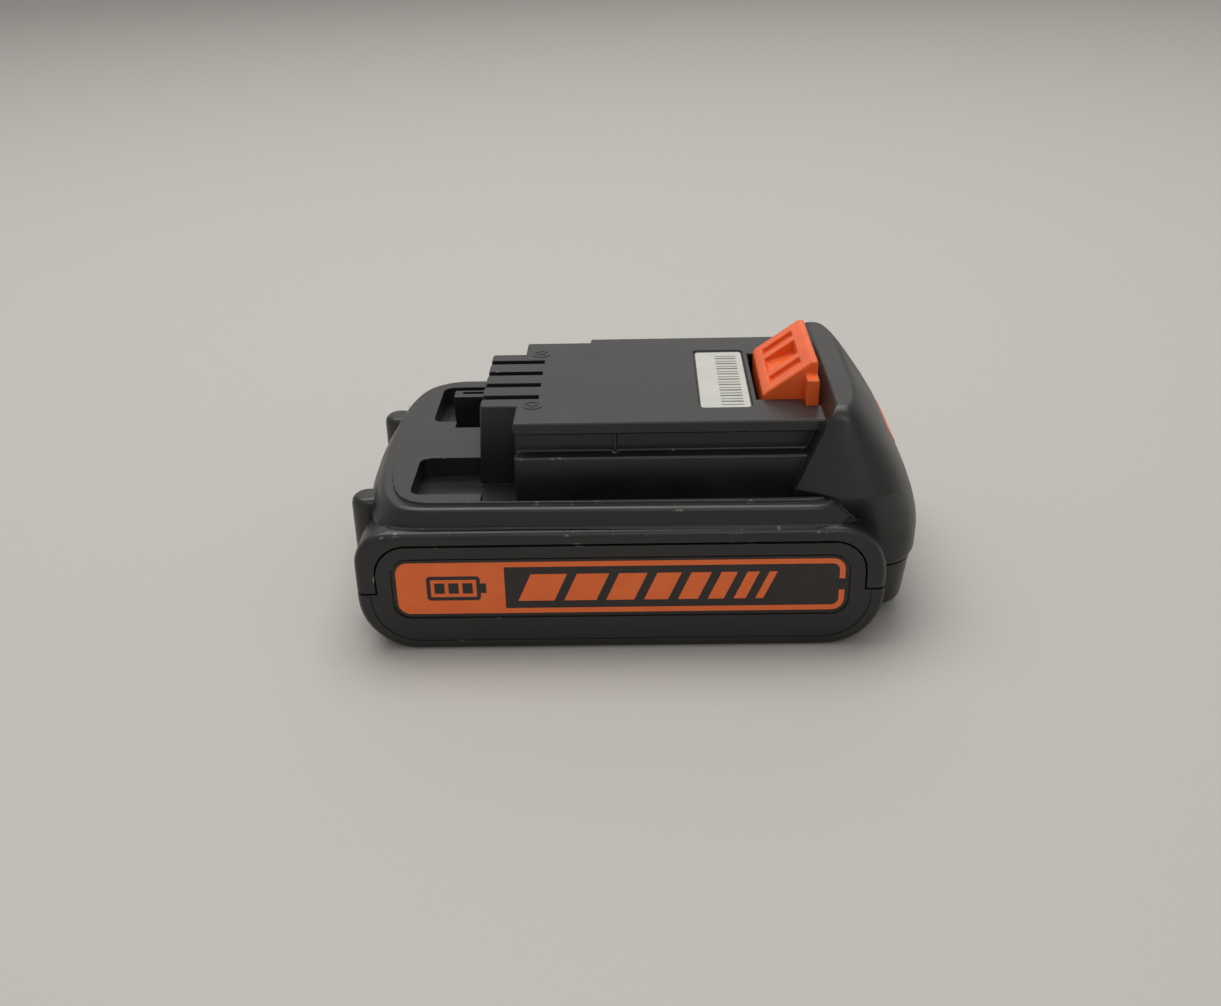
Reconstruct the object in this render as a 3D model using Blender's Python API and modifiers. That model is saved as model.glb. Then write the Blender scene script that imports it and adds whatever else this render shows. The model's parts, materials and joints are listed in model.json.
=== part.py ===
# Slide-on lithium battery pack for cordless tools: five cylindrical cells in a two-part moulded housing
# with a slide rail, a terminal tower and a sprung release latch.
# Metres, +Z up. The origin is the middle of the flat underside. The terminals are at -X, the latch at +X.

import math

import bmesh
import bpy
from mathutils import Matrix, Vector

# Gaps
FIT = 0.0003             # between pieces that seat on each other
SLIDE = 0.0004           # round the sliding latch
SKIN = 0.00005           # under a stuck-on label
SINK = 0.001             # how far joined forms run into each other

# Cells and what holds them
CELL_COUNT = 5
CELL_DIAMETER = 0.0183
CELL_LENGTH = 0.065
CELL_SPACING = 0.0009    # between neighbouring cells
CELL_LIFT = 0.00085      # cells above the housing floor
SLEEVE = 0.0001          # shrink sleeve
CAN_EDGE = 0.0007        # rounding of the can's ends
CAP_RADIUS = 0.0042
HOLDER_DEPTH = 0.0100    # how far a holder reaches along the cells
HOLDER_END = 0.0012      # holder beyond the outer cells
HOLDER_TRIM = 0.0011     # holder lower than the cells' tops
HOLDER_PLATE = 0.0012
HOLDER_ROUND = 0.0070    # corners of the holders and the insulators
STRIP_WIDTH = 0.0080
STRIP_THICKNESS = 0.0003
TAB_WIDTH = 0.0040
TAB_REACH = 0.0050       # tab over the board's edge
INSULATOR = 0.00025
POST_SIZE = 0.0040       # board posts on the holders

# Board and contacts
BOARD_LIFT = 0.00175     # board above the cells
BOARD_THICKNESS = 0.0016
BOARD_LENGTH = 0.0920
BOARD_WIDTH = 0.0560
BOARD_CORNER = 0.0020
CHIP_SIZE = 0.0080
CHIP_HEIGHT = 0.0012
BEAD_RADIUS = 0.0005     # temperature bead on the middle cell
BEAD_LENGTH = 0.0040
CONTACT_PITCH = 0.0070
CONTACT_COUNT = 4
CONTACT_LENGTH = 0.0090
CONTACT_LEAF = 0.0004
CONTACT_GAP = 0.0008
CONTACT_DROP = 0.0030    # contact tips below the plate's top
BLOCK_HEIGHT = 0.0075    # terminal block above the board

# Housing walls and levels
FLOOR = 0.0020
SIDE_WALL = 0.00265
END_WALL = 0.0026
END_ROOM = 0.00265       # beyond the holders at each end
CEILING_ROOM = 0.0005    # above the strips' tabs
CHEEK_ROOF = 0.0017
TROUGH_FLOOR = 0.0020
TROUGH_DEPTH = 0.0047
SHELF_RISE = 0.0059      # lower rail above the deck
CHANNEL_HEIGHT = 0.0047  # rail channel
FLANGE = 0.0027
PLATE_WALL = 0.0024
HUMP_RISE = 0.0033       # hump's top above the plate

# Lower body
CHEEK_RADIUS = 0.0120
CHEEK_EDGE = 0.0016
BLOCK_INSET_FRONT = 0.0040  # deck block inside the cheeks, at its front
BLOCK_INSET_REAR = 0.0009
BLOCK_FLARE = 0.0008
BLOCK_EDGE = 0.0015
FRONT_SETBACK = 0.0052   # deck edge behind the body's front end
REAR_SETBACK = 0.0080
END_TUCK = 0.0034        # underside edge behind the body's ends
TUCK_CURVE = ((0.0, 1.0), (0.25, 0.5), (0.8, 0.15), (1.9, 0.0))  # its (height, inset) steps, in tucks
FRONT_STRAIGHT = 0.52    # share of the half length with straight sides
REAR_STRAIGHT = 0.70
FRONT_SQUARE = 3.6       # squareness of the rounded ends in plan, 2 for an ellipse
REAR_SQUARE = 3.0
FRONT_CURL = 5           # how late the ends curl in towards the deck
REAR_CURL = 4
PARTING = 0.0134         # height of the seam round the ends
TONGUE_MARGIN_END = 0.0038
TONGUE_MARGIN_TOP = 0.0031
TONGUE_RADIUS = 0.0090
SEAM = 0.0003

# Rail and terminal tower
PLATE_HALF = 0.0251
CHANNEL_HALF = 0.0226
SHELF_HALF = 0.0259
TOWER_HALF = 0.0155
TOWER_WALL = 0.0018
PLATE_FRONT = -0.0213
TOWER_FRONT = -0.0288
TOWER_LEAN = 0.0010
RAIL_EDGE = 0.0004
KEY_NOTCH_END = -0.0067
STOP_RIB = 0.0007
STOP_RIB_X = -0.0010
SLOT_WIDTH = 0.0023
SLOT_END = -0.0168
SLOT_DEPTH = 0.0104
TROUGH_FRONT = -0.0426
TROUGH_STEP = -0.0277
TROUGH_INNER = 0.0117
TROUGH_OUTER = 0.0295
TROUGH_WIDE = 0.0332
TROUGH_CORNER = 0.0022
TROUGH_STEP_CORNER = 0.0007
PIT_INNER = 0.0083
PIT_STEP_INNER = 0.0048
PIT_STEP = -0.0372
KEY_FRONT = -0.0388      # sense connector in the far trough
KEY_LENGTH = 0.0085
KEY_SIDE = 0.0165
KEY_WIDTH = 0.0040
KEY_RISE = 0.0027        # above the deck
KEY_SLIT = 0.0014
KEY_SLIT_DEPTH = 0.0060
KEY_SLIT_SIDE = 0.0026   # slit's middle behind the connector's near side
KEY_SLIT_START = 0.0019

# Hump and rear bulge, along the pack from the body's rear end
HUMP_FOOT_RUN = 0.0182   # hump's front at deck level
HUMP_CREST_RUN = 0.0107  # hump's front at its top
HUMP_SHOULDER_RUN = 0.0090  # where the rear corners start, at deck level
HUMP_SHOULDER_TOP_RUN = 0.0095
HUMP_TOP_HALF = 0.0274
HUMP_FOOT_HALF = 0.0298
HUMP_DECK_HALF = 0.0342
BULGE_PROUD = 0.0094
BULGE_HEIGHT = 0.0200    # height of the rearmost point
SLOPE_DROP = 0.0145      # rear slope's run from the bulge to the crest
SLOPE_POWER = 1.66
BULGE_TUCK = 0.0024
HUMP_EDGE = 0.0026       # rounding of the crest's sides
HUMP_END_SHARE = 0.3     # its share at the crest's front and rear
HUMP_SQUARE_FOOT = 3.8   # squareness of the rear corners in plan
HUMP_SQUARE_TOP = 3.0
HUMP_LEVELS = 4
REAR_WALL = 0.0013

# Screws
SCREW_FRONT_INSET = 0.0013  # screws inside the body's ends
SCREW_FRONT_Y = 0.0216
SCREW_REAR_INSET = 0.0014
SCREW_REAR_Y = 0.0220
BOSS_RADIUS = 0.0036
BOSS_TOP = 0.0275
BOSS_FOOT = 0.0008
BOSS_ROUND = 0.0018
SCREW_HEAD = 0.0027
SCREW_HEAD_HEIGHT = 0.0020
SCREW_HEAD_EDGE = 0.0007
SCREW_SOCKET = 0.0010
SCREW_SOCKET_DEPTH = 0.0012
SCREW_SHANK = 0.00145
SCREW_TIP = 0.0009
SCREW_LENGTH = 0.0150
SCREW_DEPTH = 0.0050     # head's seat above the underside

# Latch
LATCH_LENGTH = 0.01125
LATCH_SPACE = 0.00185    # between the latch and the hump's crest
LATCH_HALF = 0.0135
LATCH_PEAK = 0.0080      # above the plate
NOSE_RISE = 0.0006       # upright front above the plate
NOSE_LENGTH = 0.0018     # rounded nose, from the front to the ramp
NOSE_HEIGHT = 0.0017
NOSE_SOFT = 0.00045
LAND = 0.0013            # flat at the peak
POCKET_START = 0.0008    # recesses behind the front
POCKET_BACK = 0.0032     # recesses short of the back
POCKET_LEAD = 0.0016     # run down to their full depth
POCKET_HALF = 0.0040
GROOVE_SIDE = 0.0083
GROOVE_WIDTH = 0.0033
POCKET_DEPTH = 0.0030
GROOVE_DEPTH = 0.0012
EAR_LENGTH = 0.0026
EAR_WIDTH = 0.0036
EAR_DROP = 0.0027        # ear's top below the peak
WINDOW_GAP = 0.0013      # window in front of the nose
STROKE = 0.0050
LIP_WIDTH = 0.0014       # retaining lip beyond the ears
LIP_THICKNESS = 0.0024
ARM_HALF = 0.0080
ARM_BOTTOM = 0.0336
ARM_HEIGHT = 0.0046
ARM_NECK = 0.0060
BUTTON_HALF = 0.0090
BUTTON_BOTTOM = 0.0296
BUTTON_TOP = 0.0398
BUTTON_PROUD = 0.0007
BUTTON_THICKNESS = 0.0024
BUTTON_EDGE = 0.0006
BUTTON_CORNER = 0.0018
BUTTON_STEPS = 4

# Latch spring
SPRING_INSET = 0.0010    # spring's axis inside the body's rear end
SPRING_RADIUS = 0.0027
SPRING_WIRE = 0.0007
SPRING_COILS = 6
COIL_STEPS = 10
SEAT_HALF = 0.0031
SEAT_TOP = 0.0220

# Labels
LABEL_THICKNESS = 0.0002
LABEL_HALF = 0.0462
LABEL_BOTTOM = 0.0080
LABEL_TOP = 0.0211
LABEL_RADIUS = 0.0032
LABEL_MARGIN = 0.0004
LABEL_RECESS = 0.0005
STICKER_FRONT = 0.0172
STICKER_LENGTH = 0.0103
STICKER_MIDDLE = -0.0010
STICKER_WIDTH = 0.0328
STICKER_RADIUS = 0.0008

ARC_STEPS = 7
END_STEPS = 14
ROUND_STEPS = 24
SHARP_ANGLE = math.radians(35)
SOFT_ANGLE = math.radians(40)

# What follows from the sizes above
CELL_PITCH = CELL_DIAMETER + CELL_SPACING
CELL_RADIUS = CELL_DIAMETER / 2
CELL_ROW = (CELL_COUNT - 1) * CELL_PITCH / 2
CELL_Z = FLOOR + CELL_LIFT + CELL_RADIUS
PLATE_IN = CELL_LENGTH / 2 + FIT
PLATE_OUT = PLATE_IN + HOLDER_PLATE
SHEET_IN = PLATE_OUT + FIT
BAY_HALF = SHEET_IN + INSULATOR + FIT
HALF_WIDTH = BAY_HALF + SIDE_WALL
HOLDER_HALF = CELL_ROW + CELL_RADIUS + HOLDER_END
BAY_LENGTH_HALF = HOLDER_HALF + END_ROOM
HALF_LENGTH = BAY_LENGTH_HALF + END_WALL
BULGE_REACH = HALF_LENGTH + BULGE_PROUD
HUMP_FOOT = HALF_LENGTH - HUMP_FOOT_RUN
HUMP_CREST = HALF_LENGTH - HUMP_CREST_RUN
HUMP_SHOULDER = HALF_LENGTH - HUMP_SHOULDER_RUN
HUMP_SHOULDER_TOP = HALF_LENGTH - HUMP_SHOULDER_TOP_RUN
SCREW_FRONT_X = SCREW_FRONT_INSET - HALF_LENGTH
SCREW_REAR_X = HALF_LENGTH - SCREW_REAR_INSET
LATCH_BACK = HUMP_CREST - LATCH_SPACE
LATCH_FRONT = LATCH_BACK - LATCH_LENGTH
SPRING_X = HALF_LENGTH - SPRING_INSET
TUCK = [(END_TUCK * rise, END_TUCK * inset) for rise, inset in TUCK_CURVE]
BOARD_BOTTOM = CELL_Z + CELL_RADIUS + BOARD_LIFT
BOARD_TOP = BOARD_BOTTOM + BOARD_THICKNESS
TAB_BOTTOM = BOARD_TOP + FIT
CEILING = TAB_BOTTOM + STRIP_THICKNESS + CEILING_ROOM
CHEEK_TOP = CEILING + CHEEK_ROOF
TROUGH_Z = CEILING + TROUGH_FLOOR
DECK = TROUGH_Z + TROUGH_DEPTH
SHELF = DECK + SHELF_RISE
FLANGE_Z = SHELF + CHANNEL_HEIGHT
PLATE_TOP = FLANGE_Z + FLANGE
ROOF = PLATE_TOP - PLATE_WALL
HUMP_TOP = PLATE_TOP + HUMP_RISE
WINDOW_BACK = LATCH_BACK + SLIDE
LIP_HALF = LATCH_HALF + EAR_WIDTH + LIP_WIDTH
WELL_HALF = LIP_HALF + SLIDE
WINDOW_FRONT = LATCH_FRONT - WINDOW_GAP
WELL_FRONT = WINDOW_FRONT - SLIDE
CONTACT_BACK = SLOT_END - FIT
CONTACT_FRONT = CONTACT_BACK - CONTACT_LENGTH


def make_collection(name):
    collection = bpy.data.collections.new(name)
    bpy.context.scene.collection.children.link(collection)
    return collection


def make_material(name, colour, roughness, metallic=0.0):
    material = bpy.data.materials.new(name)
    material.use_nodes = True
    shader = material.node_tree.nodes["Principled BSDF"]
    shader.inputs["Base Color"].default_value = (*colour, 1.0)
    shader.inputs["Roughness"].default_value = roughness
    shader.inputs["Metallic"].default_value = metallic
    return material


def make_part(name, mesh, material):
    part = bpy.data.objects.new(name, mesh)
    part.data.materials.append(material)
    parts.objects.link(part)
    return part


def make_cutter(name, mesh):
    cutter = bpy.data.objects.new(name, mesh)
    cutter.hide_render = True
    cutter.display_type = "WIRE"
    cutters.objects.link(cutter)
    return cutter


def boolean(target, operation, *tools):
    for tool in tools:
        modifier = target.modifiers.new(tool.name, "BOOLEAN")
        modifier.operation = operation
        modifier.solver = "EXACT"
        modifier.object = tool


def soften(target, width, segments=2):
    modifier = target.modifiers.new("soft edges", "BEVEL")
    modifier.width = width
    modifier.segments = segments
    modifier.limit_method = "ANGLE"
    modifier.angle_limit = SOFT_ANGLE


def finish_mesh(name, bm, smooth=True):
    bmesh.ops.recalc_face_normals(bm, faces=bm.faces)
    mesh = bpy.data.meshes.new(name)
    bm.to_mesh(mesh)
    bm.free()
    if smooth:
        mesh.shade_smooth()
        mesh.set_sharp_from_angle(angle=SHARP_ANGLE)
    return mesh


def spread(axis, level, outline):
    if axis == "X":
        return [(level, u, v) for u, v in outline]
    if axis == "Y":
        return [(u, level, v) for u, v in outline]
    return [(u, v, level) for u, v in outline]


def loft(name, loops):
    """A closed form through loops that have the same number of points."""
    bm = bmesh.new()
    rings = [[bm.verts.new(point) for point in loop] for loop in loops]
    bm.faces.new(rings[0])
    bm.faces.new(rings[-1])
    for first, second in zip(rings, rings[1:]):
        for i in range(len(first)):
            j = (i + 1) % len(first)
            bm.faces.new((first[i], first[j], second[j], second[i]))
    return finish_mesh(name, bm)


def tube(name, rings):
    """A closed ring: loops joined in turn, and the last to the first."""
    bm = bmesh.new()
    loops = [[bm.verts.new(point) for point in ring] for ring in rings]
    for first, second in zip(loops, loops[1:] + loops[:1]):
        for i in range(len(first)):
            j = (i + 1) % len(first)
            bm.faces.new((first[i], first[j], second[j], second[i]))
    return finish_mesh(name, bm)


def prism(name, axis, outline, start, stop):
    bm = bmesh.new()
    face = bm.faces.new([bm.verts.new(point) for point in spread(axis, start, outline)])
    grown = bmesh.ops.extrude_face_region(bm, geom=[face])["geom"]
    moved = [item for item in grown if isinstance(item, bmesh.types.BMVert)]
    step = Vector(spread(axis, stop - start, [(0.0, 0.0)])[0])
    bmesh.ops.translate(bm, verts=moved, vec=step)
    return finish_mesh(name, bm)


def box(name, low, high):
    bm = bmesh.new()
    bmesh.ops.create_cube(bm, size=1.0)
    size = Vector(high) - Vector(low)
    bmesh.ops.scale(bm, vec=size, verts=bm.verts)
    bmesh.ops.translate(bm, vec=(Vector(high) + Vector(low)) / 2, verts=bm.verts)
    return finish_mesh(name, bm, smooth=False)


def round_rect(u0, v0, u1, v1, radius, steps=ARC_STEPS):
    corners = ((u1 - radius, v0 + radius, -90), (u1 - radius, v1 - radius, 0))
    corners += ((u0 + radius, v1 - radius, 90), (u0 + radius, v0 + radius, 180))
    points = []
    for u, v, start in corners:
        for step in range(steps + 1):
            angle = math.radians(start + 90 * step / steps)
            points.append((u + radius * math.cos(angle), v + radius * math.sin(angle)))
    return points


def circle(u, v, radius, steps=ROUND_STEPS):
    turn = [math.tau * step / steps for step in range(steps)]
    return [(u + radius * math.cos(angle), v + radius * math.sin(angle)) for angle in turn]


def turned(name, profile, steps=ROUND_STEPS):
    """A solid of revolution about Z from (radius, height) points, listed from the top down."""
    loops = [spread("Z", height, circle(0.0, 0.0, radius, steps)) for radius, height in profile]
    return loft(name, loops)


def bowed_end(root, tip, half, power, steps=END_STEPS):
    """A rounded end, from one side of the body to the other, that bows out from root to tip."""
    points = []
    for step in range(steps + 1):
        angle = math.pi * (step / steps - 0.5)
        across = abs(math.sin(angle)) ** (2 / power) * half
        along = abs(math.cos(angle)) ** (2 / power) if 0 < step < steps else 0.0
        points.append((root + (tip - root) * along, math.copysign(across, angle)))
    return points


def slope_x(height):
    """Rear face of the hump in its middle, at this height."""
    if height < BULGE_HEIGHT:
        return BULGE_REACH - BULGE_TUCK * ((BULGE_HEIGHT - height) / BULGE_HEIGHT) ** 2
    rise = (height - BULGE_HEIGHT) / (HUMP_TOP - BULGE_HEIGHT)
    return BULGE_REACH - SLOPE_DROP * rise ** SLOPE_POWER


def quarter(radius, steps=3):
    """(inset, distance from the face) pairs of a rounded edge, from the face outwards."""
    turn = [math.pi / 2 * step / steps for step in range(steps + 1)]
    return [(radius * (1 - math.sin(angle)), radius * (1 - math.cos(angle))) for angle in turn]


# Forms of the housing

def cheek_form():
    """Lower body: a long rounded outline seen from the side, with softened side edges."""
    def outline(inset):
        return round_rect(inset - HALF_LENGTH, inset, HALF_LENGTH - inset, CHEEK_TOP - inset,
                          CHEEK_RADIUS - inset)
    edge = quarter(CHEEK_EDGE)
    near = [spread("Y", depth - HALF_WIDTH, outline(inset)) for inset, depth in edge]
    far = [spread("Y", HALF_WIDTH - depth, outline(inset)) for inset, depth in reversed(edge)]
    return loft("cheek_form", near + far)


def deck_form():
    """Body between the cheeks, up to the deck: it narrows to the front and rounds over at both ends."""
    front_half = HALF_WIDTH - BLOCK_INSET_FRONT
    rear_half = HALF_WIDTH - BLOCK_INSET_REAR
    levels = [(height, inset, BLOCK_FLARE) for height, inset in TUCK] + [(PARTING, 0.0, BLOCK_FLARE)]
    levels += [(CHEEK_TOP + depth, 0.0, flare) for flare, depth in quarter(BLOCK_FLARE, 2)]
    levels += [(DECK - depth, 0.0, -inset) for inset, depth in reversed(quarter(BLOCK_EDGE))]
    loops = []
    for height, tuck, flare in levels:
        rise = max(0.0, (height - PARTING) / (DECK - PARTING))
        front = -HALF_LENGTH + tuck + FRONT_SETBACK * rise ** FRONT_CURL
        rear = HALF_LENGTH - tuck - REAR_SETBACK * rise ** REAR_CURL
        nose = bowed_end(-HALF_LENGTH * FRONT_STRAIGHT, front, front_half + flare, FRONT_SQUARE)
        tail = bowed_end(HALF_LENGTH * REAR_STRAIGHT, rear, rear_half + flare, REAR_SQUARE)
        loops.append(spread("Z", height, nose + tail[::-1]))
    return loft("deck_form", loops)


def hump_form():
    """Latch tower and rear bulge: plan sections from the underside to the crest."""
    levels = TUCK + [(PARTING, 0.0), (BULGE_HEIGHT, 0.0), (CHEEK_TOP, 0.0), (DECK, 0.0)]
    rise = HUMP_TOP - HUMP_EDGE - DECK
    levels += [(DECK + rise * step / HUMP_LEVELS, 0.0) for step in range(1, HUMP_LEVELS)]
    levels += [(HUMP_TOP - depth, inset) for inset, depth in reversed(quarter(HUMP_EDGE))]
    loops = []
    for height, inset in levels:
        part = max(0.0, (height - DECK) / (HUMP_TOP - DECK))
        foot = HUMP_FOOT + (HUMP_CREST - HUMP_FOOT) * part
        foot_half = HUMP_FOOT_HALF + (HUMP_TOP_HALF - HUMP_FOOT_HALF) * part - inset
        half = HUMP_DECK_HALF + (HUMP_TOP_HALF - HUMP_DECK_HALF) * part - inset
        shoulder = HUMP_SHOULDER + (HUMP_SHOULDER_TOP - HUMP_SHOULDER) * part
        square = HUMP_SQUARE_FOOT + (HUMP_SQUARE_TOP - HUMP_SQUARE_FOOT) * part
        ease = inset * HUMP_END_SHARE if part else inset
        tail = bowed_end(shoulder, slope_x(height) - ease, half, square)
        sides = [(foot + ease * part, foot_half), (foot + ease * part, -foot_half)]
        loops.append(spread("Z", height, tail + sides))
    return loft("hump_form", loops)


def boss_form(x, y):
    rounded = [(BOSS_RADIUS - inset, BOSS_TOP - depth) for inset, depth in quarter(BOSS_ROUND)]
    mesh = turned("boss_form", rounded + [(BOSS_RADIUS, BOSS_FOOT)])
    form = make_cutter("boss_form", mesh)
    form.location = (x, y, 0.0)
    return form


def rail_outline():
    half = [(SHELF_HALF, CEILING + SINK), (SHELF_HALF, SHELF), (CHANNEL_HALF, SHELF)]
    half += [(CHANNEL_HALF, FLANGE_Z), (PLATE_HALF, FLANGE_Z), (PLATE_HALF, PLATE_TOP)]
    return half + [(-y, z) for y, z in reversed(half)]


def tower_outline():
    return [(TOWER_FRONT - TOWER_LEAN, CEILING + SINK), (TOWER_FRONT, PLATE_TOP),
            (PLATE_FRONT + SINK, PLATE_TOP), (PLATE_FRONT + SINK, CEILING + SINK)]


def trough_cutters(side, inner):
    """Sunk floor beside the tower, narrow in front of it and wide along it."""
    def span(start, stop):
        return sorted((side * start, side * stop))
    above = DECK + SINK
    low, high = span(inner, TROUGH_OUTER)
    front = round_rect(TROUGH_FRONT, low, HUMP_SHOULDER, high, TROUGH_CORNER, 3)
    low, high = span(CHANNEL_HALF, TROUGH_WIDE)
    along = round_rect(TROUGH_STEP, low, HUMP_SHOULDER, high, TROUGH_STEP_CORNER, 2)
    return [make_cutter("trough_cutter", prism("trough_cutter", "Z", front, TROUGH_Z, above)),
            make_cutter("trough_wide_cutter", prism("trough_wide_cutter", "Z", along, TROUGH_Z, above))]


def bay_outline():
    """Room for the latch's arm, its button and its spring, seen from the side."""
    low = [FLOOR, TUCK[-1][0], PARTING, BULGE_HEIGHT]
    upper = [BULGE_HEIGHT + (BUTTON_TOP + SLIDE - BULGE_HEIGHT) * step / 6 for step in range(1, 7)]
    rear = [(slope_x(height) - REAR_WALL, height) for height in low + upper]
    rear[0] = (slope_x(FLOOR) - END_TUCK, FLOOR)
    top = [(HUMP_CREST + PLATE_WALL, PLATE_TOP), (HUMP_CREST - PLATE_WALL, ROOF - SINK)]
    front = SPRING_X - SEAT_HALF - SINK
    return rear + top + [(WELL_FRONT + SINK, ROOF - SINK), (WELL_FRONT + SINK, CEILING - SINK),
                         (front, CEILING - SINK), (front, FLOOR)]


def window_outline():
    """T-shaped opening in the plate: the latch's nose, and its two ears at the back."""
    nose = LATCH_HALF + SLIDE
    ear = nose + EAR_WIDTH
    ear_front = LATCH_BACK - EAR_LENGTH - SLIDE
    half = [(WINDOW_FRONT, nose), (ear_front, nose), (ear_front, ear), (WINDOW_BACK, ear)]
    return half + [(x, -y) for x, y in reversed(half)]


def lower_region(gap):
    """Space below the parting seam, with a tongue that rises up each side; gap is from the seam's middle."""
    reach = BULGE_REACH + SINK
    slab = box("below_seam", (-reach, -reach, -SINK), (reach, reach, PARTING + gap))
    below = make_cutter("below_seam", slab)
    half = HALF_LENGTH - TONGUE_MARGIN_END + gap
    top = CHEEK_TOP - TONGUE_MARGIN_TOP + gap
    outline = round_rect(-half, -2 * SINK, half, top, TONGUE_RADIUS + gap)
    tongue = make_cutter("tongue", prism("tongue", "Y", outline, -reach, reach))
    boolean(below, "UNION", tongue)
    return below


def screw_places():
    front = [(SCREW_FRONT_X, SCREW_FRONT_Y), (SCREW_FRONT_X, -SCREW_FRONT_Y)]
    return front + [(SCREW_REAR_X, SCREW_REAR_Y), (SCREW_REAR_X, -SCREW_REAR_Y)]


def screw_cutter(x, y):
    top = SCREW_DEPTH + SCREW_LENGTH + FIT
    seat = SCREW_DEPTH + FIT
    profile = [(SCREW_SHANK + FIT, top), (SCREW_SHANK + FIT, seat)]
    profile += [(SCREW_HEAD + FIT, seat), (SCREW_HEAD + FIT, -SINK)]
    cutter = make_cutter("screw_cutter", turned("screw_cutter", profile, 16))
    cutter.location = (x, y, 0.0)
    return cutter


def column(x, y):
    form = make_cutter("screw_column", prism("screw_column", "Z", circle(0.0, 0.0, BOSS_RADIUS),
                                             FLOOR - SINK, CEILING + SINK))
    form.location = (x, y, 0.0)
    return form


def key_box(name, margin, bottom):
    low = (KEY_FRONT - margin, KEY_SIDE - margin, bottom)
    high = (KEY_FRONT + KEY_LENGTH + margin, KEY_SIDE + KEY_WIDTH + margin, DECK + KEY_RISE)
    return box(name, low, high)


def contact_places():
    return [(index - (CONTACT_COUNT - 1) / 2) * CONTACT_PITCH for index in range(CONTACT_COUNT)]


def label_outline(margin):
    half = LABEL_HALF + margin
    return round_rect(-half, LABEL_BOTTOM - margin, half, LABEL_TOP + margin, LABEL_RADIUS + margin, 5)


def sticker_outline(margin):
    half = STICKER_WIDTH / 2 + margin
    back = STICKER_FRONT + STICKER_LENGTH + margin
    return round_rect(STICKER_FRONT - margin, STICKER_MIDDLE - half, back, STICKER_MIDDLE + half,
                      STICKER_RADIUS + margin, 3)


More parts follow.
